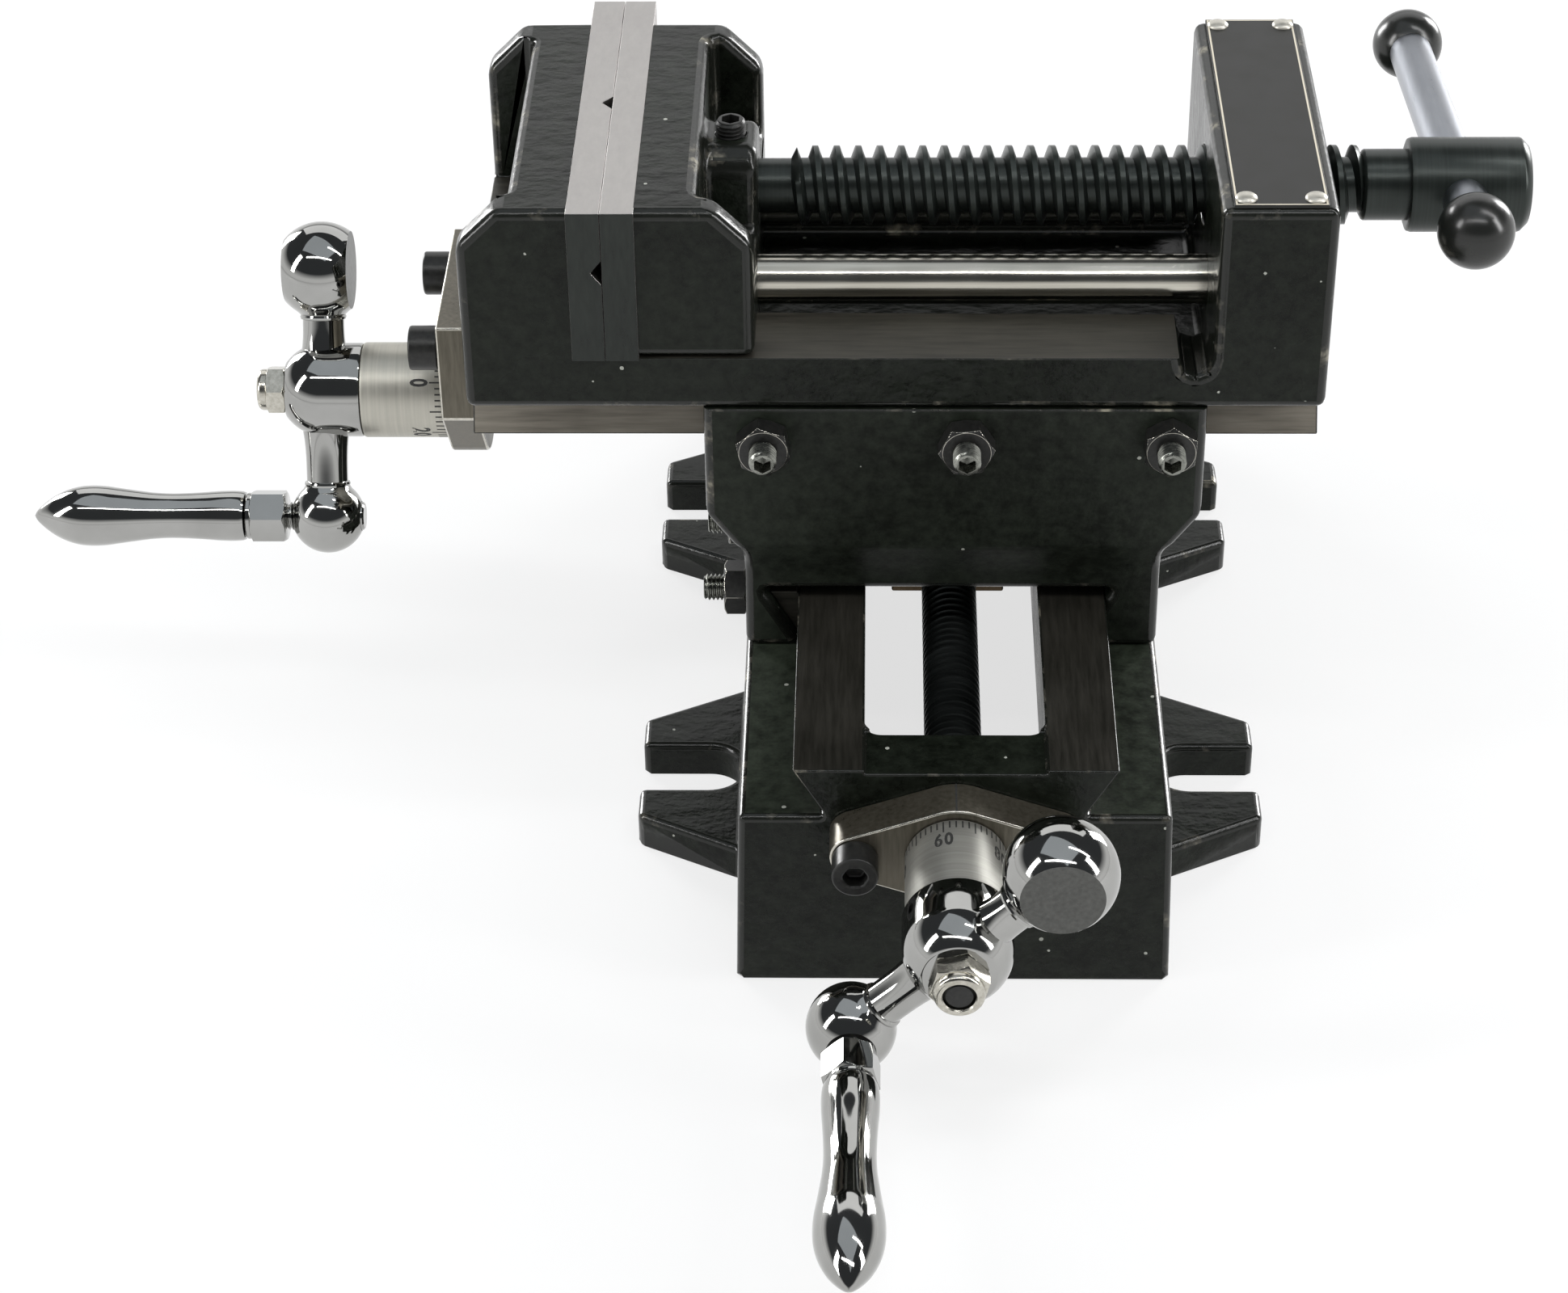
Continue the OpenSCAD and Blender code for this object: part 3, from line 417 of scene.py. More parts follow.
def hex_rows(flats, z0, z1, bore):
    """Rows of a hexagon nut with turned corners, from its bore out and back."""
    face_r = flats / 2 * HEX_FACE
    tall = flats / 2 / HEX_CORNER - face_r
    drop = tall * HEX_SLOPE
    corner = [(hex_cut(flats, face_r + tall * i / HEX_STEPS), drop * i / HEX_STEPS) for i in range(HEX_STEPS + 1)]
    rows = [(bore, z0)]
    rows += [(radius, z0 + down) for radius, down in corner]
    rows += [(radius, z1 - down) for radius, down in reversed(corner)]
    return rows + [(bore, z1)]


def thread(bm, major, root, pitch, z0, z1, segs=48, crest=0.32, base=0.30, shift=(0, 0, 0), ease=0.8):
    """A helical ridge round z that sinks to its root over the length ease at both ends."""
    flank = (1 - crest - base) / 2
    marks = [(0.0, root), (base, root), (base + flank, major), (base + flank + crest, major)]
    turns = int(math.ceil((z1 - z0) / pitch)) + 2
    cols = []
    for i in range(segs + 1):
        a = 2 * math.pi * i / segs
        col = []
        for k in range(-1, turns):
            for place, r in marks:
                z = z0 + (k + place + i / segs) * pitch
                near = min(z - z0, z1 - z)
                if near < ease:
                    r = root + (r - root) * max(0.0, near / ease)
                z = min(max(z, z0), z1)
                col.append((shift[0] + r * math.cos(a), shift[1] + r * math.sin(a), shift[2] + z))
        cols.append([bm.verts.new(v) for v in col])
    for i in range(segs):
        for k in range(len(cols[0]) - 1):
            quad = (cols[i][k], cols[i + 1][k], cols[i + 1][k + 1], cols[i][k + 1])
            if len({tuple(round(c, 5) for c in v.co) for v in quad}) > 2:
                bm.faces.new(quad)
    loft(bm, [(root, z0), (0, z0)], segs, shift)
    loft(bm, [(root, z1), (0, z1)], segs, shift)


def smooth_curve(points, steps=6):
    """Points of a smooth curve through the given ones."""
    out = []
    ends = [points[0]] + list(points) + [points[-1]]
    for a, b, c, d in zip(ends, ends[1:], ends[2:], ends[3:]):
        for s in range(steps):
            t = s / steps
            out.append(tuple(
                0.5 * (2 * b[k] + (c[k] - a[k]) * t + (2 * a[k] - 5 * b[k] + 4 * c[k] - d[k]) * t * t
                       + (3 * b[k] - a[k] - 3 * c[k] + d[k]) * t ** 3)
                for k in range(2)))
    out.append(tuple(points[-1]))
    return out


# ---------------------------------------------------- CAD nodes that stay

SHARP_ANGLE = 35
SHARP = math.cos(math.radians(SHARP_ANGLE))


def mark_edges(mesh, share):
    """Notes on each sharp edge how much of the rounding it takes: share(middle, length) gives 0 to 1."""
    def ends(a, b):
        return tuple(sorted(tuple(round(c, 6) for c in mesh.vertices[v].co) for v in (a, b)))

    sides = {}
    for poly in mesh.polygons:
        for pair in poly.edge_keys:
            sides.setdefault(ends(*pair), []).append(poly.normal)
    shares = []
    for edge in mesh.edges:
        normals = sides[ends(*edge.vertices)]
        p, q = (mesh.vertices[v].co for v in edge.vertices)
        sharp = any(normals[0].dot(n) < SHARP for n in normals[1:])
        shares.append(share((p + q) / 2, (q - p).length) if sharp else 0.0)
        edge.use_edge_sharp = sharp and shares[-1] == 0
    mesh.attributes.new("bevel_weight_edge", "FLOAT", "EDGE").data.foreach_set("value", shares)


def keep(name, finish, bevel, edge=None, segments=3, merge=True, share=None):
    """A CAD node shown as it is, with its edges broken and its finish on."""
    obj = NODES[name]
    obj.data.materials.clear()
    obj.data.materials.append(finish)
    for poly in obj.data.polygons:
        poly.material_index = 0
    shade(obj.data)
    weld = obj.modifiers.new("weld", "WELD")
    weld.merge_threshold = 0.005 * MM
    if merge:
        flat = obj.modifiers.new("flat", "DECIMATE")
        flat.decimate_type = "DISSOLVE"
        flat.angle_limit = math.radians(0.6)
        flat.delimit = {"MATERIAL"}
    cut = round_edges(obj, "edges", bevel, SHARP_ANGLE, segments, 1 if edge else -1)
    if share:
        mark_edges(obj.data, share)
        cut.limit_method = "WEIGHT"
    cut.use_clamp_overlap = False
    cut.loop_slide = False
    cut.harden_normals = True
    cut.miter_outer = "MITER_ARC"
    if edge:
        obj.data.materials.append(edge)
    even = obj.modifiers.new("normals", "WEIGHTED_NORMAL")
    even.keep_sharp = True
    return obj


def paint_faces(obj, finish, wanted):
    """Gives the faces picked by wanted(centre, normal) another finish."""
    obj.data.materials.append(finish)
    index = len(obj.data.materials) - 1
    for poly in obj.data.polygons:
        if wanted(poly.center, poly.normal):
            poly.material_index = index


fixed_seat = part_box("fixed_jaw_plate")[0].x
moving_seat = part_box("moving_jaw_plate")[1].x
bed_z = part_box("fixed_jaw_plate")[0].z
rail_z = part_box("base_casting")[1].z
saddle_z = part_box("saddle_casting")[1].z
jaw_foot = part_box("moving_jaw_casting")[0].z
body_y = centre("body_casting").y
DOVE_H = 13.2 * MM       # the base's rails above its deck
RAIL_H = 13.0 * MM       # what counts as rail, just short of the deck
BAND_H = 13.6 * MM       # the body's painted band below its bed
FOOT_H = 6.0 * MM        # the machined foot of the moving jaw
ARC_STEP = 2.5 * MM      # edges shorter than this belong to a bore or an arc
UP, DOWN = 0.9, -0.2     # z of the normal of a face that looks up, or down at a slant


def close(a, b):
    return abs(a - b) < 0.15 * MM


# How much each edge of a casting is rounded: none under the base or at a jaw plate's seat,
# little where it was machined or bored.
def base_edges(at, length):
    if at.z < MM:
        return 0.0
    return 0.3 if at.z > rail_z - RAIL_H else 1.0


def saddle_edges(at, length):
    return 0.25 if close(at.z, saddle_z) or length < ARC_STEP else 1.0


def body_edges(at, length):
    if close(at.x, fixed_seat) and at.z > bed_z - MM:
        return 0.0
    if close(at.z, bed_z) or at.z < bed_z - BAND_H:
        return 0.15
    return 0.25 if length < ARC_STEP else 1.0


def moving_edges(at, length):
    if close(at.x, moving_seat):
        return 0.0
    return 0.2 if at.z < jaw_foot + FOOT_H or length < ARC_STEP else 1.0


def on_rail(c, n):
    return c.z > rail_z - RAIL_H and (n.z > UP and close(c.z, rail_z) or n.z < DOWN)


def on_deck(c, n):
    return n.z > UP and close(c.z, rail_z - DOVE_H)


def on_ways(c, n):
    return (close(c.z, bed_z) and n.z > UP) or c.z < bed_z - 2 * RAIL_H


def on_dovetail(c, n):
    return c.z < bed_z - BAND_H and n.z > -UP


def on_plate_end(c, n):
    return abs(n.y) > UP


base = keep("base_casting", PAINT, 1.6 * MM, WORN, merge=False, share=base_edges)
paint_faces(base, RAIL, on_rail)
paint_faces(base, DECK_PAINT_WITH_PAINTED_LIGHT, on_deck)
keep("saddle_casting", DULL_PAINT_WITH_PAINTED_LIGHT, 2.0 * MM, WORN, merge=False, share=saddle_edges)
body = keep("body_casting", PAINT, 2.2 * MM, WORN, share=body_edges)
paint_faces(body, MACHINED, on_ways)
paint_faces(body, STRIP, on_dovetail)
keep("moving_jaw_casting", PAINT, 2.4 * MM, WORN, share=moving_edges)

for name in ("fixed_jaw_plate", "moving_jaw_plate"):
    jaw_plate = keep(name, JAW, 0.18 * MM, segments=2)
    paint_faces(jaw_plate, JAW_END, on_plate_end)
# The brackets' bevelled edges take the pale zinc finish as a painted highlight along their chamfers.
for name in ("y_bracket", "x_bracket"):
    keep(name, BRACKET, 0.5 * MM, NUT, segments=2)
for name in ("y_bracket_screws", "x_bracket_screws"):
    keep(name, OXIDE, 0.55 * MM, segments=2)
for name in ("fixed_plate_screws", "moving_plate_screws", "y_nut_screws", "x_nut_screws"):
    keep(name, OXIDE, 0.25 * MM, segments=2)
for name in ("y_gib", "x_gib"):
    keep(name, MACHINED, 0.3 * MM, segments=2)
for name in ("y_feed_nut", "x_feed_nut"):
    keep(name, BRONZE, 0.5 * MM, segments=2)
keep("guide_rods", ROD, 0.6 * MM, segments=2)
keep("tommy_bar", BAR, 0.4 * MM, segments=2)
keep("name_plate", plate_enamel(*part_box("name_plate")), 0.15 * MM, segments=2)

# ------------------------------------------------------------------ cranks
# Each crank's frame lies on its bracket's face with z pointing out along the feed screw. Sizes are in millimetres.

FLANGE_GAP = 0.3 * MM
Y_TURN, X_TURN = 44.2, 25.0
FRONT = Matrix.Rotation(math.radians(90), 4, "X")
LEFT = Matrix.Rotation(math.radians(-90), 4, "Y")
y_mid, x_mid = centre("y_dial"), centre("x_dial")
y_face, x_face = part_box("y_dial")[1].y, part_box("x_dial")[1].x
Y_FRAME = (Matrix.Translation((y_mid.x, y_face + FLANGE_GAP, y_mid.z))
           @ FRONT @ Matrix.Rotation(math.radians(Y_TURN), 4, "Z"))
X_FRAME = (Matrix.Translation((x_face + FLANGE_GAP, x_mid.y, x_mid.z))
           @ LEFT @ Matrix.Rotation(math.radians(X_TURN), 4, "Z"))
LENGTHWISE = {"y": 1, "x": 0}

DIAL_R, DIAL_Z0, DIAL_Z1 = 11.5, 0.3, 21.3
BALL_Z, HUB_Z1, HUB_STEPS = 31.0, 40.2, 18
NUT_HEX, NUT_H, NUT_BORE, CAP_ROUND, CAP_STEPS = 4.7, 6.9, 3.6, 1.2, 8
SCREW_END = HUB_Z1 + 6.4
ARM_R, ARM_FOOT, ARM_FLARE, ARM_STEPS, BALL_STEPS = 5.0, 6.0, 1.5, 8, 40
# the bead between an arm and its ball: radius beyond the arm's, distance back from the ball
BEAD_BACK = 1.6
BEAD = [(0, 1.3), (0.45, 1.1), (0.6, 0.6), (0.45, 0.1)]
WEIGHT_FLAT, KNOB_FLAT = (7.0, 8.8), (8.2, 8.4)
SPINDLE_R = 3.45
COLLAR_Z0, COLLAR_Z1, COLLAR_AF, COLLAR_BORE, COLLAR_RIM = 41.0, 50.8, 11.6, 2.4, 1.1
GRIP_Z0, GRIP_BORE, GRIP_ROUND = 51.1, 2.6, 0.5
# radius of the hub, reach and radius of the two balls, radius of the grip, nut across flats, turn of the collar
CRANKS = {
    "y": {"hub": 12.3, "weight": (30.2, 12.7), "knob": (32.4, 10.1), "grip": 7.7, "nut": 11.8, "collar": 30},
    "x": {"hub": 11.4, "weight": (29.0, 11.7), "knob": (31.0, 9.0), "grip": 7.4, "nut": 10.6, "collar": 0},
}
# the grip's outline: share of its length, share of its radius
GRIP_SHAPE = [
    (0, 0.80), (0.05, 0.83), (0.12, 0.82), (0.20, 0.78), (0.28, 0.75), (0.36, 0.74), (0.44, 0.77),
    (0.52, 0.84), (0.60, 0.92), (0.66, 0.98), (0.72, 1), (0.78, 0.97), (0.84, 0.86), (0.90, 0.66),
    (0.95, 0.41), (0.985, 0.18), (1, 0.0)
]


def half_arm(bm, reach, ball_r, flats, way):
    """One arm of a crank with its ball, turned round the arm's own line and cut flat on both sides."""
    part = bmesh.new()
    join = math.asin(ARM_R / ball_r)
    top = reach - ball_r * math.cos(join)
    rows = [(0, ARM_FOOT)]
    for i in range(ARM_STEPS + 1):
        t = i / ARM_STEPS
        rows.append((ARM_R + ARM_FLARE * (1 - t) ** 3, ARM_FOOT + t * (top - BEAD_BACK - ARM_FOOT)))
    rows += [(ARM_R + out, top - back) for out, back in BEAD]
    for i in range(2, BALL_STEPS):
        a = join + (math.pi - join) * i / BALL_STEPS
        rows.append((ball_r * math.sin(a), reach - ball_r * math.cos(a)))
    rows.append((0, reach + ball_r))
    loft(part, rows, 72)
    over = Matrix.Rotation(math.radians(90 * way), 3, "Y")
    bmesh.ops.rotate(part, cent=(0, 0, 0), matrix=over, verts=part.verts)
    for side, flat in zip((-1, 1), flats):
        geom = part.verts[:] + part.edges[:] + part.faces[:]
        cut = bmesh.ops.bisect_plane(
            part, geom=geom, plane_co=(0, 0, side * flat), plane_no=(0, 0, side), clear_outer=True)
        rim = [e for e in cut["geom_cut"] if isinstance(e, bmesh.types.BMEdge)]
        for face in bmesh.ops.contextual_create(part, geom=rim)["faces"]:
            face.material_index = 1
    bmesh.ops.translate(part, vec=(0, 0, BALL_Z), verts=part.verts)
    absorb(bm, part)


def crank_balls(side, place, body):
    size = CRANKS[side]
    bm = bmesh.new()
    half_arm(bm, *size["weight"], WEIGHT_FLAT, 1)
    half_arm(bm, *size["knob"], KNOB_FLAT, -1)
    arm = piece(side + "_crank_balls", bm, place, CHROME, body, [side + "_crank_arm"], 25)
    # the flats take the dark ground-flat finish, a painted reflection
    arm.data.materials.append(FLAT_PAINTED_REFLECTION)
    round_edges(arm, "edges", 0.5 * MM, 24, 3, 0)


def crank_hub(side, place, body):
    r = CRANKS[side]["hub"]
    bm = bmesh.new()
    rows = [(0, DIAL_Z1), (r - 0.6, DIAL_Z1), (r - 0.15, DIAL_Z1 + 0.2), (r, DIAL_Z1 + 0.7)]
    rows += [(r, BALL_Z - 4), (r, BALL_Z)]
    steep = math.asin((HUB_Z1 - 0.4 - BALL_Z) / r)
    for i in range(1, HUB_STEPS + 1):
        a = steep * i / HUB_STEPS
        rows.append((r * math.cos(a), BALL_Z + r * math.sin(a)))
    last = rows[-1][0]
    rows += [(last - 0.35, HUB_Z1 - 0.1), (last - 0.8, HUB_Z1), (0, HUB_Z1)]
    loft(bm, rows, 80)
    piece(side + "_crank_hub", bm, place, CHROME, body, angle=40)


def crank_nut(side, place, body):
    """A lock nut with a rounded collar on top, and the end of the feed screw in it."""
    flats = CRANKS[side]["nut"]
    hex_top, top = HUB_Z1 + NUT_HEX, HUB_Z1 + NUT_H
    cap_r = flats / 2 - 0.3
    bm = bmesh.new()
    loft(bm, hex_rows(flats, HUB_Z1, hex_top, NUT_BORE), 96)
    rows = [(cap_r, hex_top - 0.3)]
    for i in range(CAP_STEPS + 1):
        a = math.pi / 2 * i / CAP_STEPS
        rows.append((cap_r - CAP_ROUND + CAP_ROUND * math.cos(a), top - CAP_ROUND + CAP_ROUND * math.sin(a)))
    rows += [(NUT_BORE + 0.25, top), (NUT_BORE, top - 0.3), (NUT_BORE, hex_top)]
    loft(bm, rows, 64)
    piece(side + "_lock_nut_turned", bm, place, NUT, body, [side + "_lock_nut"])
    bm = bmesh.new()
    thread(bm, 3.48, 2.95, 1.0, HUB_Z1, SCREW_END, 40, 0.14, 0.14, ease=0.5)
    piece(side + "_screw_end", bm, place, OXIDE, body)


def handle_neck(side, place, body):
    """The spindle through the small ball, with its hexagon collar."""
    at = (-CRANKS[side]["knob"][0], 0, 0)
    bm = bmesh.new()
    thread(bm, SPINDLE_R, 2.85, 1.0, BALL_Z + KNOB_FLAT[1] - 1.0, COLLAR_Z0 + 0.2, 40, 0.14, 0.14, at)
    foot = BALL_Z - KNOB_FLAT[0]
    rows = [(0, foot - 0.8), (3.0, foot - 0.8), (SPINDLE_R, foot - 0.4), (SPINDLE_R, foot + 2), (0, foot + 2)]
    loft(bm, rows, 40, at)
    rim_z, rim_r = COLLAR_Z1 - COLLAR_RIM, COLLAR_AF / 2 - 0.15
    turn = math.radians(CRANKS[side]["collar"])
    loft(bm, hex_rows(COLLAR_AF, COLLAR_Z0, rim_z, COLLAR_BORE), 96, at, turn)
    rows = [(rim_r - 0.3, rim_z - 0.3), (rim_r, rim_z), (rim_r, COLLAR_Z1 - 0.3), (rim_r - 0.3, COLLAR_Z1)]
    rows += [(COLLAR_BORE, COLLAR_Z1), (COLLAR_BORE, GRIP_Z0 + 4), (0, GRIP_Z0 + 4)]
    loft(bm, rows, 72, at)
    piece(side + "_handle_neck", bm, place, CHROME, body, [side + "_handle_spindle"])


def handle_grip(side, place, body):
    size = CRANKS[side]
    lo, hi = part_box(side + "_handle_grip")
    length = (hi - lo)[LENGTHWISE[side]] / MM
    bm = bmesh.new()
    rows = [(GRIP_BORE, GRIP_Z0 + 3), (GRIP_BORE, GRIP_Z0)]
    for share, width in smooth_curve(GRIP_SHAPE, 5):
        r = max(width, 0.0) * size["grip"]
        z = GRIP_Z0 + share * length
        if share < 0.001:
            rows += [(r - GRIP_ROUND, z), (r - 0.12, z + 0.12), (r, z + GRIP_ROUND)]
        elif share * length > GRIP_ROUND + 0.1:
            rows.append((0 if share > 0.999 else r, z))
    loft(bm, rows, 72, (-size["knob"][0], 0, 0))
    piece(side + "_grip_turned", bm, place, CHROME, body, [side + "_handle_grip"], 45)


for side, place in (("y", Y_FRAME), ("x", X_FRAME)):
    crank_balls(side, place, side + "_crank")
    crank_hub(side, place, side + "_crank")
    crank_nut(side, place, side + "_crank")
    handle_neck(side, place, side + "_crank")
    handle_grip(side, place, side + "_grip")

# ------------------------------------------------------------------- dials

DIAL_BORE = 5.2
MARK_OUT, MARK_HALF, MARK_Z0, MARK_LONG, MARK_SHORT = 0.02, 0.19, DIAL_Z0 + 0.5, 3.6, 2.3
DIVISIONS, NUMBERS = 50, 5
NUMERAL_H, NUMERAL_WIDTH, NUMERAL_Z = 4.0, 0.68, DIAL_Z0 + 8.5
CAPITAL_SHARE = 0.7      # height of a figure in the built-in font, as a share of its size


def numeral(text, height):
    """Flat outline of a number as triangles, x along its line and y up, centred."""
    curve = bpy.data.curves.new("numeral", "FONT")
    curve.body = text
    curve.size = height / CAPITAL_SHARE
    curve.offset = 0.05 * height
    curve.space_character = 1.22
    curve.align_x = "CENTER"
    curve.resolution_u = 3
    obj = bpy.data.objects.new("numeral", curve)
    bpy.context.scene.collection.objects.link(obj)
    mesh = obj.to_mesh()
    verts = [(v.co.x, v.co.y) for v in mesh.vertices]
    faces = [tuple(p.vertices) for p in mesh.polygons]
    obj.to_mesh_clear()
    bpy.data.objects.remove(obj)
    bpy.data.curves.remove(curve)
    return verts, faces


def dial(side, place, body, start):
    """A dial with divisions at its bracket end and a number every ten of them."""
    bm = bmesh.new()
    rows = [(DIAL_BORE, DIAL_Z0), (DIAL_R - 0.5, DIAL_Z0), (DIAL_R - 0.1, DIAL_Z0 + 0.12), (DIAL_R, DIAL_Z0 + 0.5)]
    rows += [(DIAL_R, DIAL_Z0 + 7), (DIAL_R, DIAL_Z0 + 14)]
    rows += [(DIAL_R, DIAL_Z1 - 0.6), (DIAL_R - 0.12, DIAL_Z1 - 0.2), (DIAL_R - 0.6, DIAL_Z1), (DIAL_BORE, DIAL_Z1)]
    loft(bm, rows, 96)
    piece(side + "_dial_turned", bm, place, DIAL_SHADED_AND_LIT[side], body, [side + "_dial"])

    r = DIAL_R + MARK_OUT

    def at(angle, z):
        return r * math.cos(angle), r * math.sin(angle), z

    bm = bmesh.new()
    half = MARK_HALF / r
    for i in range(DIVISIONS):
        a = math.radians(start) - 2 * math.pi * i / DIVISIONS
        end = MARK_Z0 + (MARK_LONG if i % 5 == 0 else MARK_SHORT)
        corners = [at(a - half, MARK_Z0), at(a + half, MARK_Z0), at(a + half, end), at(a - half, end)]
        add_faces(bm, corners, [(0, 1, 2, 3)])
    for i in range(NUMBERS):
        a = math.radians(start) - 2 * math.pi * i / NUMBERS
        verts, faces = numeral(str(i * 100 // NUMBERS), NUMERAL_H)
        add_faces(bm, [at(a - NUMERAL_WIDTH * x / r, NUMERAL_Z - y) for x, y in verts], faces)
    piece(side + "_dial_marks", bm, place, INK, body, angle=60)


dial("y", Y_FRAME, "y_crank", 90 - Y_TURN + 3 * 360 / NUMBERS + 15)
dial("x", X_FRAME, "x_crank", -X_TURN - 50)

# ------------------------------------------------------------------ screws


def stud_set(name, places, radii, inner, outer, socket, finish, body, stands_for):
    """Threaded studs with a hexagon socket in the outer end; places are frames with z pointing out."""
    major, root = radii
    flats, deep = socket
    end = outer - 0.05
    bm = bmesh.new()
    for place in places:
        part = bmesh.new()
        thread(part, major, root, 1.0, -inner, end, 36, 0.15, 0.15, ease=0.6)
        rows = [(root, outer - 0.06), (root - 0.15, outer), (hexagon(flats), outer), (hexagon(flats), outer - deep)]
        loft(part, rows + [(0, outer - deep - 0.6)], 72)
        lid = [f for f in part.faces if len(f.verts) == 3 and abs(f.calc_center_median().z - end) < 1e-4]
        bmesh.ops.delete(part, geom=lid, context="FACES_ONLY")
        absorb_at(bm, part, places[0], place)
    piece(name, bm, places[0], finish, body, stands_for)


def nut_set(name, places, flats, height, bore, finish, body, stands_for):
    """Hexagon nuts, each at another turn."""
    bm = bmesh.new()
    for n, place in enumerate(places):
        part = bmesh.new()
        loft(part, hex_rows(flats, 0.0, height, bore) + [(bore, 0.0)], 96, turn=math.radians(11 + 23 * n))
        absorb_at(bm, part, places[0], place)
    return piece(name, bm, places[0], finish, body, stands_for)


def three(first, last):
    return first, (first + last) / 2, last


STUD_R, STUD_ROOT, STUD_IN, STUD_OUT, STUD_SOCKET = 3.2, 2.65, 4.0, 10.5, (3.8, 4.0)
GIB_NUT_AF, GIB_NUT_H, GIB_NUT_BORE = 11.4, 5.5, 3.22
KEEPER_R, KEEPER_ROOT, KEEPER_IN, KEEPER_SOCKET = 3.5, 2.9, 12.0, (4.0, 3.2)
x_nut_lo, x_nut_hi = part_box("x_gib_nuts")
y_nut_lo, y_nut_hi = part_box("y_gib_nuts")
x_nut_z, y_nut_z = (x_nut_lo.z + x_nut_hi.z) / 2, (y_nut_lo.z + y_nut_hi.z) / 2
across_flats = GIB_NUT_AF / 2 * MM
across_corners = GIB_NUT_AF / 2 / HEX_CORNER * MM
x_places = [Matrix.Translation((x, x_nut_hi.y, x_nut_z)) @ FRONT
            for x in three(x_nut_lo.x + across_corners, x_nut_hi.x - across_corners)]
y_places = [Matrix.Translation((y_nut_hi.x, y, y_nut_z)) @ LEFT
            for y in three(y_nut_lo.y + across_flats, y_nut_hi.y - across_flats)]
for side, places in (("x", x_places), ("y", y_places)):
    stud_set(side + "_gib_studs", places, (STUD_R, STUD_ROOT), STUD_IN, STUD_OUT, STUD_SOCKET,
             STUD, "saddle", [side + "_gib_screws"])
    nuts = nut_set(side + "_gib_lock_nuts", places, GIB_NUT_AF, GIB_NUT_H, GIB_NUT_BORE,
                   OXIDE, "saddle", [side + "_gib_nuts"])
    # The nuts are black oxide, with the pale zinc finish on their bevelled rims as a painted highlight along the
    # chamfers.
    nuts.data.materials.append(NUT)
    round_edges(nuts, "painted_highlight_rims", 0.32 * MM, 28, 2, 1)

keeper = centre("screw_retainer")
keeper_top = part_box("screw_retainer")[1].z
stud_set("keeper_screw", [Matrix.Translation((keeper.x, keeper.y, keeper_top))], (KEEPER_R, KEEPER_ROOT),
         KEEPER_IN, 0.0, KEEPER_SOCKET, OXIDE, "moving_jaw", ["screw_retainer"])

vise_lo, vise_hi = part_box("vise_screw")
VISE = (Matrix.Translation((vise_hi.x, body_y, (vise_lo.z + vise_hi.z) / 2))
        @ Matrix.Rotation(math.radians(90), 4, "Y"))
HEAD_LEN, HEAD_R, COLLAR_LEN, COLLAR_R = 28.0, 10.95, 10.2, 8.25
VISE_R, VISE_ROOT, VISE_PITCH = 9.2, 6.4, 5.0
NOSE_LEN, NOSE_R = 25.3, 6.3
nose_end = (vise_lo.x - vise_hi.x) / MM
thread_start = nose_end + NOSE_LEN
thread_end = -HEAD_LEN - COLLAR_LEN
bm = bmesh.new()
thread(bm, VISE_R, VISE_ROOT, VISE_PITCH, thread_start, thread_end, 56, 0.24, 0.36, ease=1.4)
piece("vise_screw_thread", bm, VISE, OILED, "vise_screw", ["vise_screw"])
bm = bmesh.new()
rows = [(0, nose_end), (NOSE_R - 0.5, nose_end), (NOSE_R, nose_end + 0.5)]
rows += [(NOSE_R, thread_start - 0.4), (NOSE_R, thread_start + 1), (0, thread_start + 1)]
loft(bm, rows, 56)
rows = [(0, thread_end - 1), (6.9, thread_end - 0.6), (COLLAR_R - 0.25, thread_end)]
rows += [(COLLAR_R, thread_end + 0.4), (COLLAR_R, -HEAD_LEN + 0.2)]
rows += [(HEAD_R - 1.2, -HEAD_LEN), (HEAD_R - 0.3, -HEAD_LEN + 0.3), (HEAD_R, -HEAD_LEN + 1.2), (HEAD_R, -10)]
rows += [(HEAD_R, -2.2), (HEAD_R - 0.15, -1.7), (HEAD_R - 1.7, -0.15), (HEAD_R - 2.2, 0), (0, 0)]
loft(bm, rows, 72)
piece("vise_screw_head", bm, VISE, OILED, "vise_screw")

FEED_R, FEED_ROOT, FEED_PITCH, JOURNAL_R = 6.68, 5.45, 2.5, 4.95
for side, place, flange in (("y", Y_FRAME, 10.5), ("x", X_FRAME, 9.0)):
    lo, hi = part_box(side + "_lead_screw")
    length = (hi - lo)[LENGTHWISE[side]] / MM - SCREW_END
    bm = bmesh.new()
    thread(bm, FEED_R, FEED_ROOT, FEED_PITCH, -length, -flange - 0.5, 48, 0.30, 0.34)
    piece(side + "_feed_thread", bm, place, FEED, side + "_crank", [side + "_lead_screw"])
    bm = bmesh.new()
    journal_z0, journal_z1 = -flange - 1.5, DIAL_Z0 + 2
    loft(bm, [(0, journal_z0), (JOURNAL_R, journal_z0), (JOURNAL_R, journal_z1), (0, journal_z1)], 56)
    piece(side + "_feed_journal", bm, place, FEED, side + "_crank")

# ------------------------------------------------------- handle balls, rivets

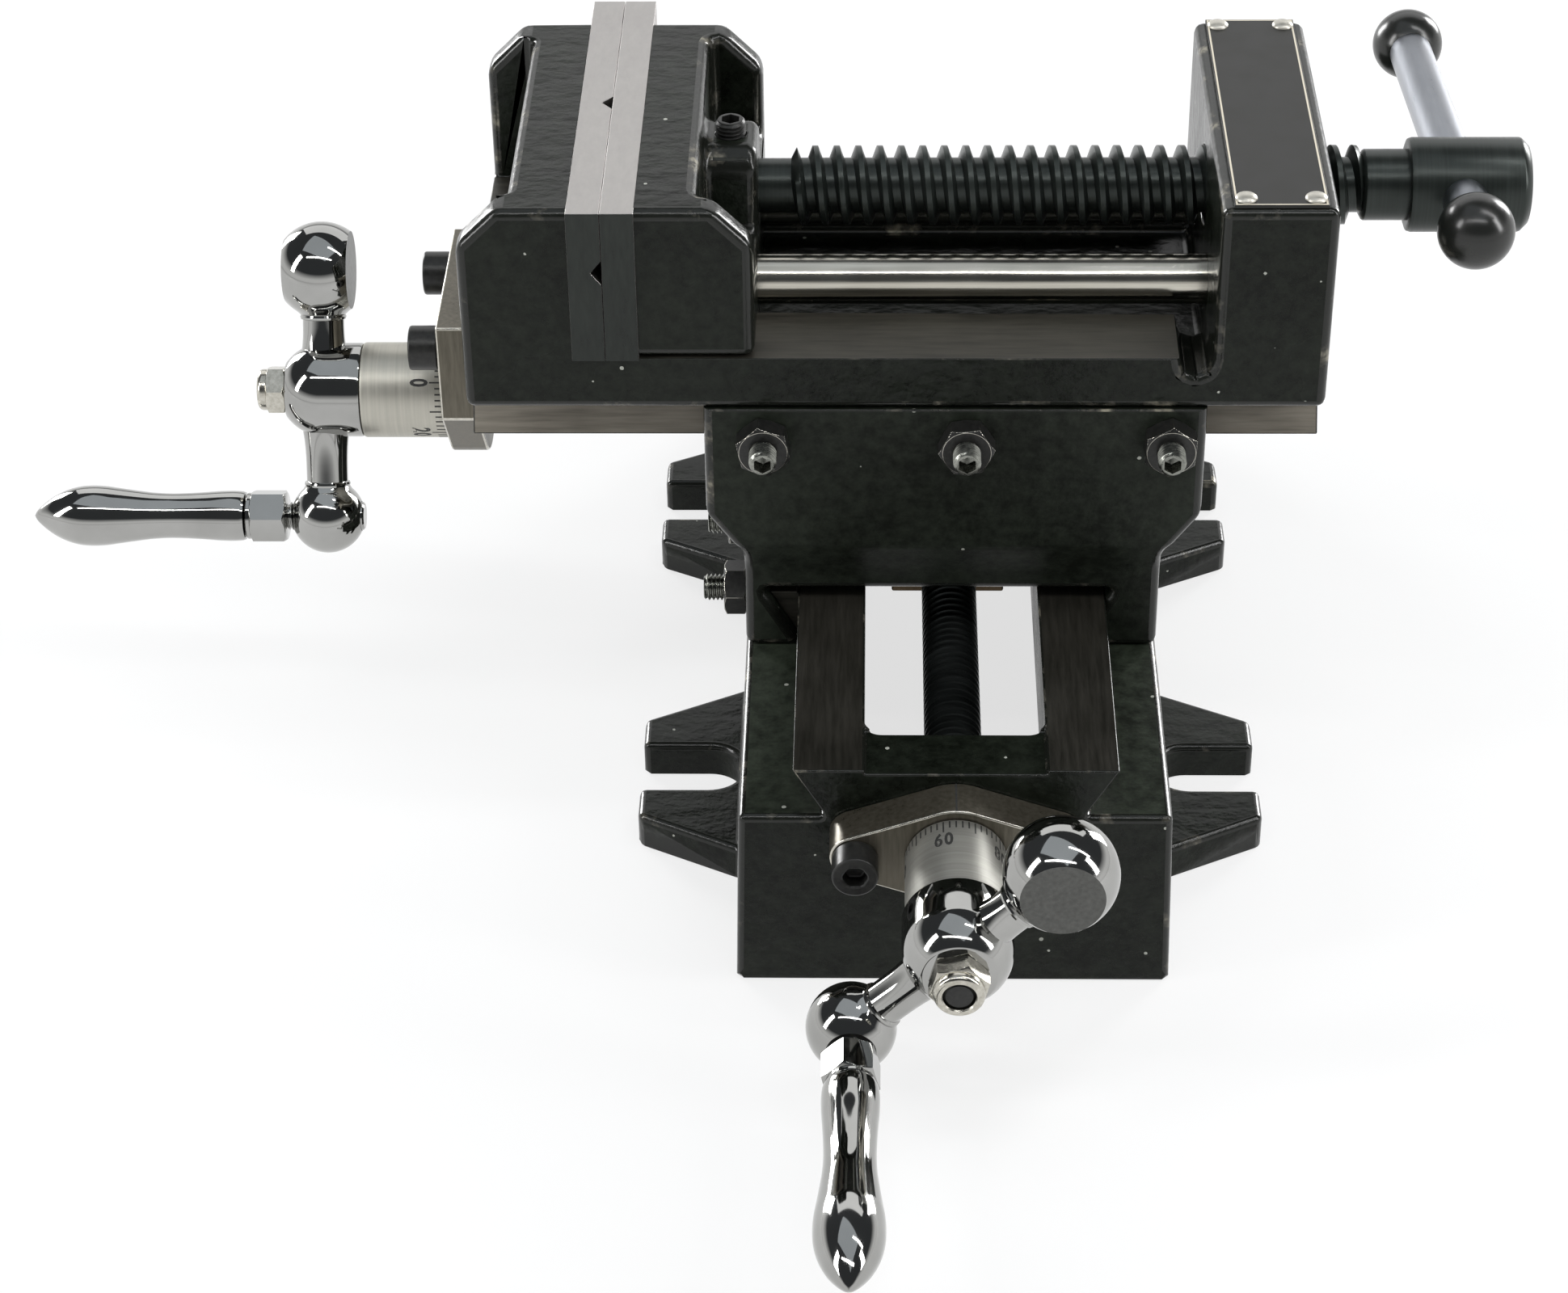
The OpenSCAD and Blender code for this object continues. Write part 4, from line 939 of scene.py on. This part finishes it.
BALL_R, BALL_OPEN, KNOB_STEPS = 8.75, 144, 34
BAR_TILT = math.radians(6.9)
bar_lo, bar_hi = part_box("tommy_bar_balls")
near = Vector((centre("tommy_bar_balls").x, bar_lo.y + BALL_R * MM, bar_hi.z - BALL_R * MM))
far = Vector((near.x, bar_hi.y - BALL_R * MM, bar_lo.z + BALL_R * MM))
BAR_FRAME = Matrix.Translation(near) @ Matrix.Rotation(math.radians(-90) - BAR_TILT, 4, "X")
span = (far - near).length / MM
bm = bmesh.new()
for at, way in ((0, -1), (span, 1)):
    rows = [(0, at + way * BALL_R)]
    for i in range(1, KNOB_STEPS + 1):
        a = math.radians(BALL_OPEN) * i / KNOB_STEPS
        rows.append((BALL_R * math.sin(a), at + way * BALL_R * math.cos(a)))
    rows.append((0, rows[-1][1]))
    loft(bm, rows, 64)
piece("handle_balls_moulded", bm, BAR_FRAME, BALL, "tommy_bar", ["tommy_bar_balls"])

RIVET_R, RIVET_H, RIVET_RIM, RIVET_STEPS = 2.5, 1.2, 0.05, 9
rivet_lo, rivet_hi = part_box("name_plate_rivets")
name_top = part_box("name_plate")[1].z
rivet_rows = [(0, -0.2), (RIVET_R, -0.2), (RIVET_R, RIVET_RIM)]
for i in range(1, RIVET_STEPS):
    a = math.pi / 2 * i / RIVET_STEPS
    rivet_rows.append((RIVET_R * math.cos(a), RIVET_RIM + (RIVET_H - RIVET_RIM) * math.sin(a)))
rivet_rows.append((0, RIVET_H))
bm = bmesh.new()
for x in (rivet_lo.x + RIVET_R * MM, rivet_hi.x - RIVET_R * MM):
    for y in (rivet_lo.y + RIVET_R * MM, rivet_hi.y - RIVET_R * MM):
        loft(bm, rivet_rows, 32, ((x - rivet_lo.x) / MM, (y - rivet_lo.y) / MM, 0))
piece("rivet_heads", bm, Matrix.Translation((rivet_lo.x, rivet_lo.y, name_top)), RIVET, "vise_body",
      ["name_plate_rivets"])

# ------------------------------------------------------------- index line

LINE_HALF, LINE_UP, LINE_IN = 0.22, 0.02, 0.4
bracket_lo, bracket_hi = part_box("y_bracket")
line_end = (bracket_hi.y - bracket_lo.y) / MM - LINE_IN
corners = ((-LINE_HALF, LINE_IN), (LINE_HALF, LINE_IN), (LINE_HALF, line_end), (-LINE_HALF, line_end))
bm = bmesh.new()
add_faces(bm, [(x, y, LINE_UP) for x, y in corners], [(0, 1, 2, 3)])
piece("y_index_line", bm, Matrix.Translation((y_mid.x, bracket_lo.y, bracket_hi.z)), INK, "base")

# ------------------------------------------------------------------- stage

FLOOR_HALF, FLOOR_Z, GLOW_SHARE = 6, -0.0004, 0.72
scene = bpy.context.scene
floor_mesh = bpy.data.meshes.new("floor")
floor_mesh.from_pydata(
    [(x * FLOOR_HALF, y * FLOOR_HALF, 0) for x, y in ((-1, -1), (1, -1), (1, 1), (-1, 1))], [], [(0, 1, 2, 3)])
floor = bpy.data.objects.new("floor", floor_mesh)
scene.collection.objects.link(floor)
floor.location = (0, 0, FLOOR_Z)
sheet = Finish("floor_sheet")
sheet.colour(sheet.ramp(sheet.noise(3, 2.0), [(0.3, (0.88, 0.88, 0.88)), (0.7, (0.90, 0.90, 0.90))]))
sheet.set("Roughness", 0.9)
sheet.set("Specular IOR Level", 0.1)
rays = sheet.add("ShaderNodeLightPath").outputs
seen = sheet.math("MAXIMUM", rays["Is Camera Ray"], rays["Is Glossy Ray"])
seen = sheet.math("MAXIMUM", seen, rays["Is Transmission Ray"])
glow = sheet.add("ShaderNodeEmission")
glow.inputs["Color"].default_value = (1, 1, 1, 1)
glow.inputs["Strength"].default_value = 1.0
both = sheet.add("ShaderNodeMixShader")
sheet.link(sheet.math("MULTIPLY", seen, GLOW_SHARE), both.inputs["Fac"])
sheet.link(sheet.shader.outputs["BSDF"], both.inputs[1])
sheet.link(glow.outputs["Emission"], both.inputs[2])
sheet.link(both.outputs["Shader"], sheet.tree.nodes["Material Output"].inputs["Surface"])
floor_mesh.materials.append(sheet.mat)

# The world: white at the horizon, dark overhead.
world = bpy.data.worlds.new("studio")
scene.world = world
world.use_nodes = True
wt = world.node_tree
sky = wt.nodes["Background"]
facing = wt.nodes.new("ShaderNodeTexCoord")
parts = wt.nodes.new("ShaderNodeSeparateXYZ")
wt.links.new(facing.outputs["Generated"], parts.inputs["Vector"])
rise = wt.nodes.new("ShaderNodeValToRGB")
stops = rise.color_ramp.elements
stops[0].position, stops[0].color = 0.10, (1, 1, 1, 1)
stops[1].position, stops[1].color = 0.32, (0.06, 0.064, 0.068, 1)
wt.links.new(parts.outputs["Z"], rise.inputs["Fac"])
wt.links.new(rise.outputs["Color"], sky.inputs["Color"])
sky.inputs["Strength"].default_value = 1.0


def lamp(name, at, target_z, size, power, colour=(1.0, 1.0, 1.0)):
    """A rectangular lamp aimed at a point above the frame's origin."""
    data = bpy.data.lights.new(name, "AREA")
    data.shape = "RECTANGLE"
    data.size, data.size_y = size
    data.energy = power
    data.color = colour
    obj = bpy.data.objects.new(name, data)
    scene.collection.objects.link(obj)
    obj.location = at
    obj.rotation_euler = (Vector((0, 0, target_z)) - Vector(at)).to_track_quat("-Z", "Y").to_euler()


lamp("rear_box", (0.1, 1.8, 1.35), 0.12, (2.6, 1.3), 13.5)
lamp("top_panel", (-0.1, -0.15, 1.6), 0.1, (1.8, 1.2), 4.4, (0.88, 0.94, 1.0))
lamp("front_strip", (-0.1, -0.85, 1.52), 0.1, (1.8, 0.08), 6.5)
lamp("top_strip", (0.88, -0.15, 1.55), 0.1, (0.08, 1.2), 6.5)
lamp("rear_left_strip", (-1.6, 1.8, 0.55), 0.12, (0.60, 1.1), 42)
lamp("rear_right_strip", (1.6, 1.8, 0.55), 0.12, (0.60, 1.1), 42)
lamp("left_strip", (-1.6, -0.6, 0.95), 0.1, (0.30, 1.2), 17)
lamp("right_strip", (1.5, -0.5, 0.9), 0.1, (0.26, 1.0), 12.5)

scene.view_settings.view_transform = "Standard"

# The camera: its place, where it looks, its right-hand side and its focal length.
CAM_AT = Vector((-0.018202, -0.781348, 0.565346))
CAM_LOOK = Vector((-0.02456, 0.81119, -0.58427))
CAM_RIGHT = Vector((0.99970, 0.02109, -0.01273))
cam_data = bpy.data.cameras.new("photo_camera")
cam_data.sensor_fit = "HORIZONTAL"
cam_data.sensor_width = 36.0
cam_data.lens = 84.82
cam_data.clip_start = 0.05
cam = bpy.data.objects.new("photo_camera", cam_data)
scene.collection.objects.link(cam)
look = CAM_LOOK.normalized()
up = CAM_RIGHT.normalized().cross(look).normalized()
right = look.cross(up).normalized()
cam.matrix_world = Matrix.Translation(CAM_AT) @ Matrix((right, up, -look)).transposed().to_4x4()
scene.camera = cam
